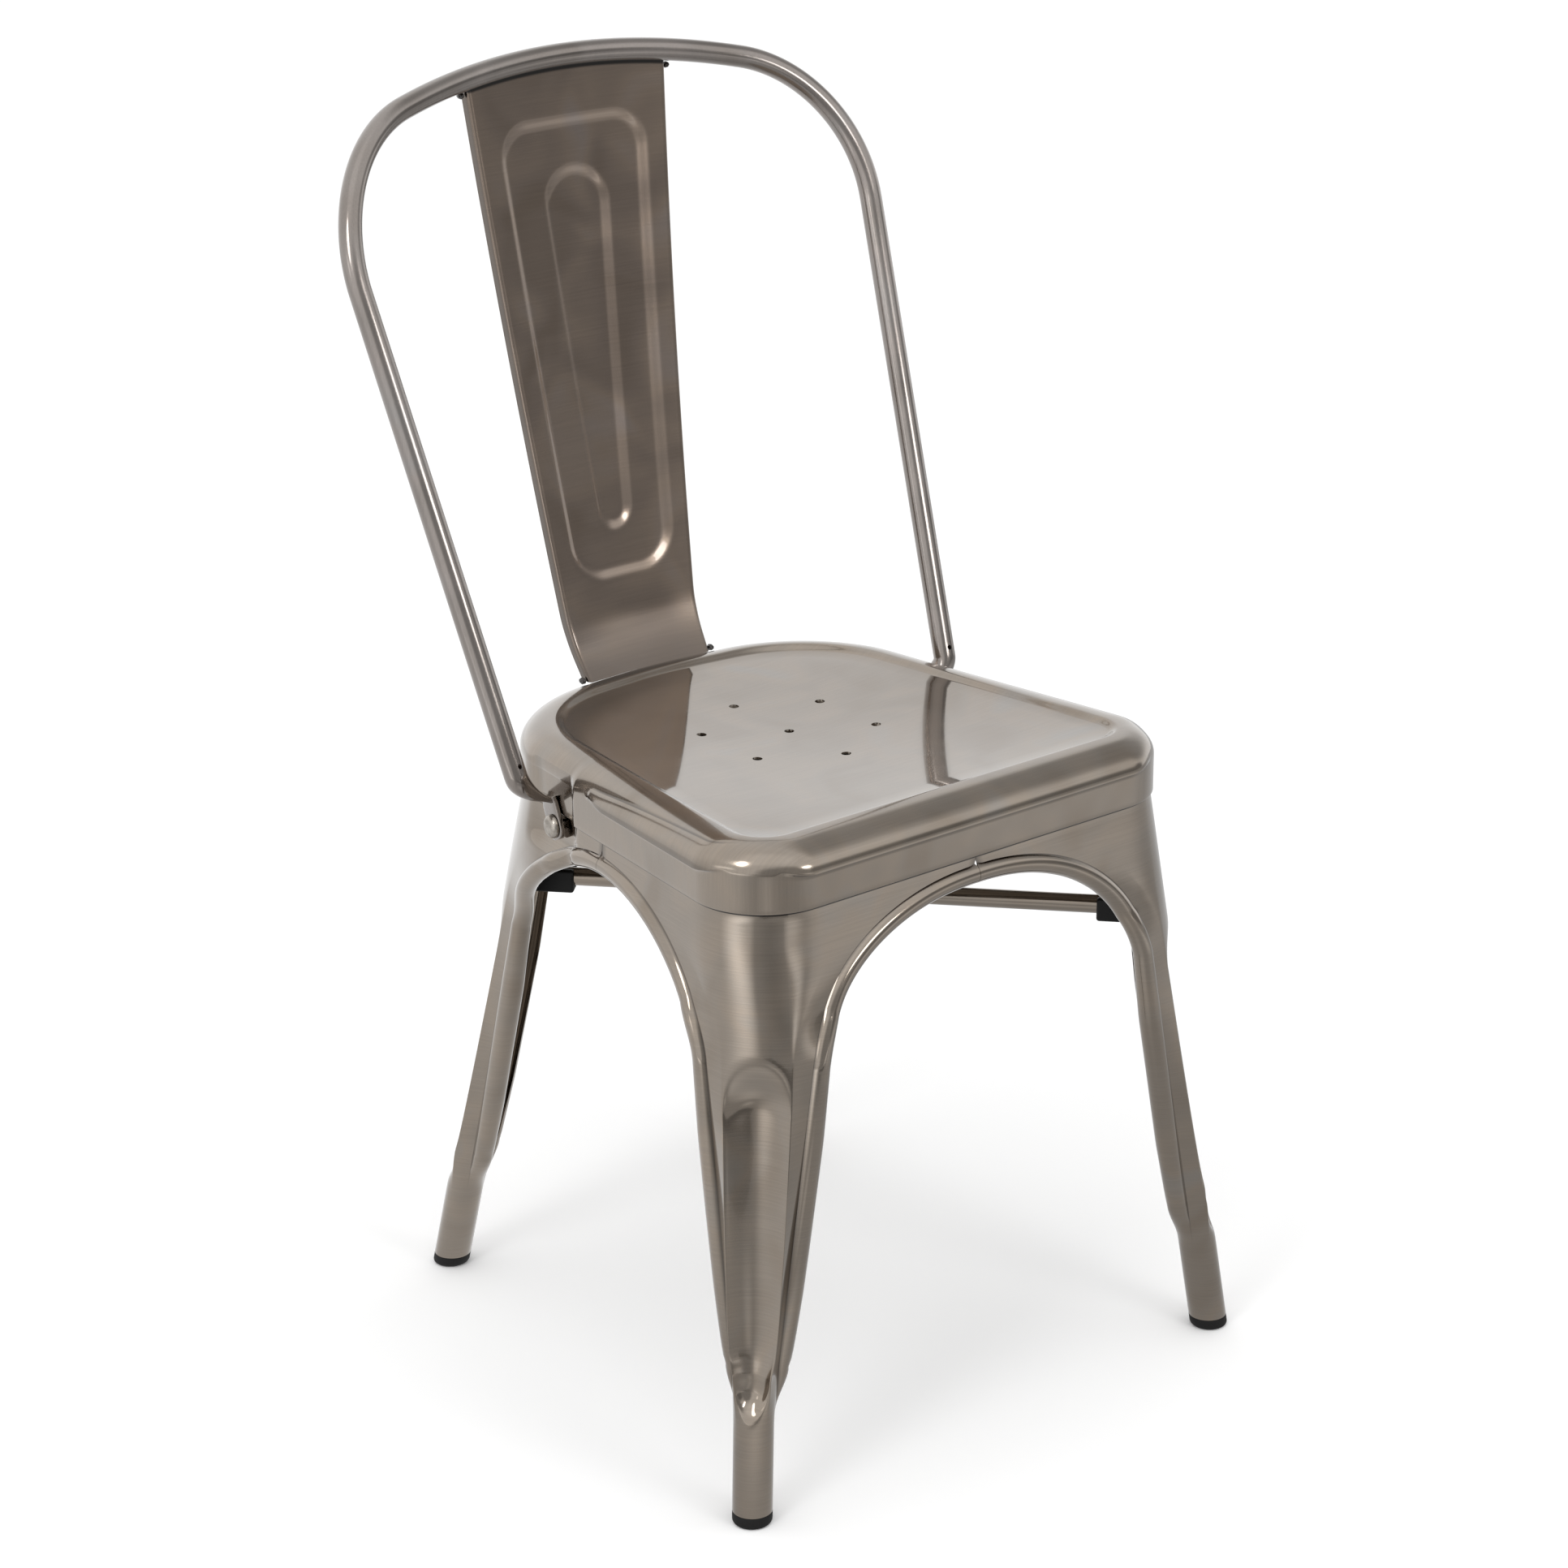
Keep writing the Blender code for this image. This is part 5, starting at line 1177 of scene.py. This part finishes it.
brace = {
    "frontDrop": 0.1167, "rearDrop": 0.1117, "radius": 0.00635, "wall": 0.0012, "overrun": 0.002,
    "sides": 48, "boreSides": 32, "bumperLength": 0.036, "bumperHalf": 0.0084, "bumperHang": 0.0034,
    "bumperLip": 0.0015, "mouthHalf": 0.0040, "setback": 0.0075, "bumperRound": 0.0021,
    "bumperSoft": 0.0003, "softAngle": 50,
}


def braceEnd(leg, side, drop):
    # a bar stops just short of the inner face of a leg's corner
    steep = float(np.linalg.norm(leg["lean"]))
    hollow = brace["radius"] ** 2 / (2 * seat["frontRadius"])
    reach = shape["cornerReach"] - stock["sheet"] - stock["fit"] - hollow - brace["radius"] * steep
    return legLocal(leg, 0.0, reach, seat["height"] - drop) * (side, 1, 1)


def makeBar(name, node, start, end):
    piece = rodAlong(name, start, end, brace["radius"], brace["sides"])
    run = unit(end - start) * brace["overrun"]
    bore = brace["radius"] - brace["wall"]
    cutWith(piece, rodAlong("bore", start - run, end + run, bore, brace["boreSides"]))
    return finishPiece(piece, node, steelAcross)


def makeBumper(name, node, end, inner):
    # a saddle clipped round a bar: a rounded block with a bore and a mouth above
    inward = Vector(unit(inner - end))
    aside = Vector((0, 0, 1)).cross(inward).normalized()
    above = inward.cross(aside)
    turn = Matrix((inward, aside, above)).transposed().to_4x4()
    bore = brace["radius"] + stock["fit"]
    lip = math.sqrt(bore ** 2 - brace["mouthHalf"] ** 2) + brace["bumperLip"]
    low = -brace["radius"] - brace["bumperHang"]
    along = brace["setback"] + brace["bumperLength"] / 2
    blocks = []
    for label, half, bottom, top, length in (
        (name, brace["bumperHalf"], low, lip, brace["bumperLength"]),
        ("mouth", brace["mouthHalf"], 0.0, 2 * lip, 2 * brace["bumperLength"]),
    ):
        block = startFrom(bpy.ops.mesh.primitive_cube_add, label, size=1)
        size = Matrix.Diagonal((length, 2 * half, top - bottom, 1))
        block.matrix_world = turn @ Matrix.Translation((0, 0, (top + bottom) / 2)) @ size
        block.location = Vector(end) + inward * along + above * (top + bottom) / 2
        blocks.append(settle(block))
    piece, mouth = blocks
    applyModifier(piece, "BEVEL", width=brace["bumperRound"], segments=5)
    start = Vector(end)
    cutWith(piece, rodAlong("bore", start, start + inward * 2 * along, bore, brace["sides"]))
    cutWith(piece, mouth)
    applyModifier(piece, "BEVEL", width=brace["bumperSoft"], segments=2, limit_method="ANGLE",
                  angle_limit=math.radians(brace["softAngle"]))
    return finishPiece(piece, node, nylon)


through = (braceEnd(legs["front"], 1, brace["frontDrop"]), braceEnd(legs["rear"], -1, brace["rearDrop"]))
across = (braceEnd(legs["front"], -1, brace["frontDrop"]), braceEnd(legs["rear"], 1, brace["rearDrop"]))
way = unit(across[1] - across[0])
square = abs(float(way @ unit(through[1] - through[0])))
middle = between(*across, across[0][0] / (across[0][0] - across[1][0]))
clear = (brace["radius"] + stock["fit"] + brace["radius"] * square) / math.sqrt(1 - square ** 2)
makeBar("longBraceBar", "long_brace_bar", *through)
makeBar("frontBraceBar", "front_brace_bar", across[0], middle - way * clear)
makeBar("rearBraceBar", "rear_brace_bar", across[1], middle + way * clear)
for corner, end in (("front_right", through[0]), ("rear_left", through[1]),
                    ("front_left", across[0]), ("rear_right", across[1])):
    label = corner.title().replace("_", "")
    makeBumper("braceBumper" + label, corner + "_brace_bumper", end, middle)
print("brace fitted")


# Camera, stage and light

view = {"place": (-1.5657, -1.9190 + holeY, 1.3235), "ahead": (0.5905, 0.7260, -0.3523), "roll": -0.478,
        "lens": 90.83, "sensor": 36}
scene = bpy.context.scene
camera = bpy.data.objects.new("camera", bpy.data.cameras.new("camera"))
scene.collection.objects.link(camera)
camera.data.lens = view["lens"]
camera.data.sensor_width = view["sensor"]
turned = Vector(view["ahead"]).to_track_quat("-Z", "Y").to_matrix().to_4x4()
rolled = Matrix.Rotation(math.radians(view["roll"]), 4, "Z")
camera.matrix_world = Matrix.Translation(view["place"]) @ turned @ rolled
scene.camera = camera


def compass(azimuth, elevation):
    # a direction from the chair: azimuth 0 is behind it, 90 on its right, 180 in front
    turn, rise = math.radians(azimuth), math.radians(elevation)
    return (math.sin(turn) * math.cos(rise), math.cos(turn) * math.cos(rise), math.sin(rise))


# The plain fill light, and the room as the steel mirrors it: a white sweep, darker towards the studio on the
# right and behind the camera. Each zone has its azimuth, elevation, the angles at which it is full and gone,
# and its level
room = {
    "fill": 1.05,
    "mirrored": 1.12,
    "zones": {
        "lightLeft": (-75, 45, 12, 50, 1.1),
        "lightBack": (39, 21, 14, 36, 0.98),
        "lightAbove": (-137, 67, 12, 30, 1.35),
        "lightSide": (-92, 13, 3, 8, 2.2),
        "darkRight": (86, 40, 12, 36, 0.5),
        "darkFront": (126, 1, 10, 22, 0.32),
        "darkSplat": (152, 1, 10, 22, 0.32),
        "darkCamera": (-165, 0, 24, 42, 0.48),
    },
}
world = bpy.data.worlds.new("studio")
scene.world = world
world.use_nodes = True
tree = world.node_tree
path = addNode(tree, "ShaderNodeLightPath")
ahead = addNode(tree, "ShaderNodeTexCoord").outputs["Generated"]
level = addNode(tree, "ShaderNodeValue").outputs[0]
level.default_value = room["mirrored"]
for azimuth, elevation, full, gone, wanted in room["zones"].values():
    near = addNode(tree, "ShaderNodeVectorMath", {1: compass(azimuth, elevation)}, {0: ahead},
                   operation="DOT_PRODUCT")
    edges = {"From Min": math.cos(math.radians(gone)), "From Max": math.cos(math.radians(full))}
    share = addNode(tree, "ShaderNodeMapRange", edges, {"Value": near.outputs["Value"]},
                    interpolation_type="SMOOTHSTEP").outputs["Result"]
    level = addNode(tree, "ShaderNodeMix", {"B": wanted}, {"Factor": share, "A": level}).outputs[0]
strength = addNode(tree, "ShaderNodeMix", {"A": room["fill"]},
                   {"Factor": path.outputs["Is Glossy Ray"], "B": level})
tree.nodes["Background"].inputs["Color"].default_value = linear("#ffffff")
tree.links.new(strength.outputs[0], tree.nodes["Background"].inputs["Strength"])


def card(name, place, towards, size, finish):
    # a board of the photographer's, facing a point
    piece = startFrom(bpy.ops.mesh.primitive_plane_add, name, size=1, location=place)
    piece.rotation_mode = "QUATERNION"
    piece.rotation_quaternion = (Vector(towards) - Vector(place)).to_track_quat("Z", "Y")
    piece.scale = (*size, 1)
    piece.data.materials.append(finish)
    return piece


# White paper underfoot: it shows the chair's soft shadow. Where the steel mirrors it, the paper glows as
# painted light instead:
# bright behind and to the left, greyer in front, with painted pools of light and shade: the middle, the
# reach and the level of each
paper = {"grey": 0.55, "white": 0.93, "slope": (-0.6, 0.8, 0.0), "from": -0.2, "to": 0.55, "size": (14, 14),
         "pools": (((0.95, -1.3, 0.0), 1.0, 0.95), ((-2.2, -4.4, 0.0), 2.4, 0.32),
                   ((3.4, -1.0, 0.0), 1.6, 0.42), ((-0.75, -1.0, 0.0), 0.35, 0.84),
                   ((-0.38, -0.48, 0.0), 0.4, 0.9), ((-3.0, -0.8, 0.0), 1.5, 2.3),
                   ((0.35, -3.2, 0.0), 1.3, 1.5))}


def whitePaper():
    material, tree, shader = startMaterial("white_paper", Roughness=0.9, Specular_IOR_Level=0.0)
    shader.inputs["Base Color"].default_value = linear("#ffffff")
    place = addNode(tree, "ShaderNodeNewGeometry").outputs["Position"]
    along = addNode(tree, "ShaderNodeVectorMath", {1: paper["slope"]}, {0: place}, operation="DOT_PRODUCT")
    level = addNode(tree, "ShaderNodeMapRange", {"From Min": paper["from"], "From Max": paper["to"],
                                                 "To Min": paper["grey"], "To Max": paper["white"]},
                    {"Value": along.outputs["Value"]}, interpolation_type="SMOOTHSTEP").outputs["Result"]
    for spot, reach, wanted in paper["pools"]:
        away = addNode(tree, "ShaderNodeVectorMath", {1: spot}, {0: place}, operation="DISTANCE")
        share = addNode(tree, "ShaderNodeMapRange", {"From Min": reach, "From Max": 0.0},
                        {"Value": away.outputs["Value"]}, interpolation_type="SMOOTHSTEP").outputs["Result"]
        level = addNode(tree, "ShaderNodeMix", {"B": wanted}, {"Factor": share, "A": level}).outputs[0]
    mirrored = addNode(tree, "ShaderNodeEmission", links={"Strength": level})
    path = addNode(tree, "ShaderNodeLightPath")
    surfaces = {0: path.outputs["Is Glossy Ray"], 1: shader.outputs[0], 2: mirrored.outputs[0]}
    both = addNode(tree, "ShaderNodeMixShader", links=surfaces)
    tree.links.new(both.outputs[0], tree.nodes["Material Output"].inputs["Surface"])
    return material


card("floor", (0, 0, 0), (0, 0, 1), paper["size"], whitePaper())

# A black cloth on the paper in front of the chair, out of the picture: the flute mirrors it as a dark block.
# It glows faintly at a fixed level instead of being lit: a painted dark reflection
cloth = {"place": (-0.92, -1.78, 0.003), "size": (1.5, 0.58), "level": 0.24}


def blackCloth():
    material, tree, _ = startMaterial("black_cloth")
    mirrored = addNode(tree, "ShaderNodeEmission", {"Strength": cloth["level"]})
    tree.links.new(mirrored.outputs[0], tree.nodes["Material Output"].inputs["Surface"])
    return material


flag = card("blackCloth", cloth["place"], (*cloth["place"][:2], 1), cloth["size"], blackCloth())
for ray in ("camera", "diffuse", "shadow", "transmission"):
    setattr(flag, "visible_" + ray, False)

# Two softboxes, one each side of the camera: azimuth, elevation, distance, width, height and power.
# Both look at the middle of the chair
lampAim = Vector((0, 0, 0.45))
lamps = {
    "leftSoftbox": (-107, 39, 2.3, 0.6, 0.9, 7),
    "rightSoftbox": (172, 24, 2.4, 0.9, 0.45, 6.5),
}
for name, (azimuth, elevation, far, wide, high, power) in lamps.items():
    lamp = bpy.data.lights.new(name, "AREA")
    lamp.shape = "ELLIPSE"
    lamp.size, lamp.size_y = wide, high
    lamp.energy = power
    body = bpy.data.objects.new(name, lamp)
    scene.collection.objects.link(body)
    body.location = lampAim + Vector(compass(azimuth, elevation)) * far
    body.rotation_mode = "QUATERNION"
    body.rotation_quaternion = (lampAim - body.location).to_track_quat("-Z", "Y")
    body.visible_camera = False

scene.view_settings.view_transform = "Standard"
print("stage lit")
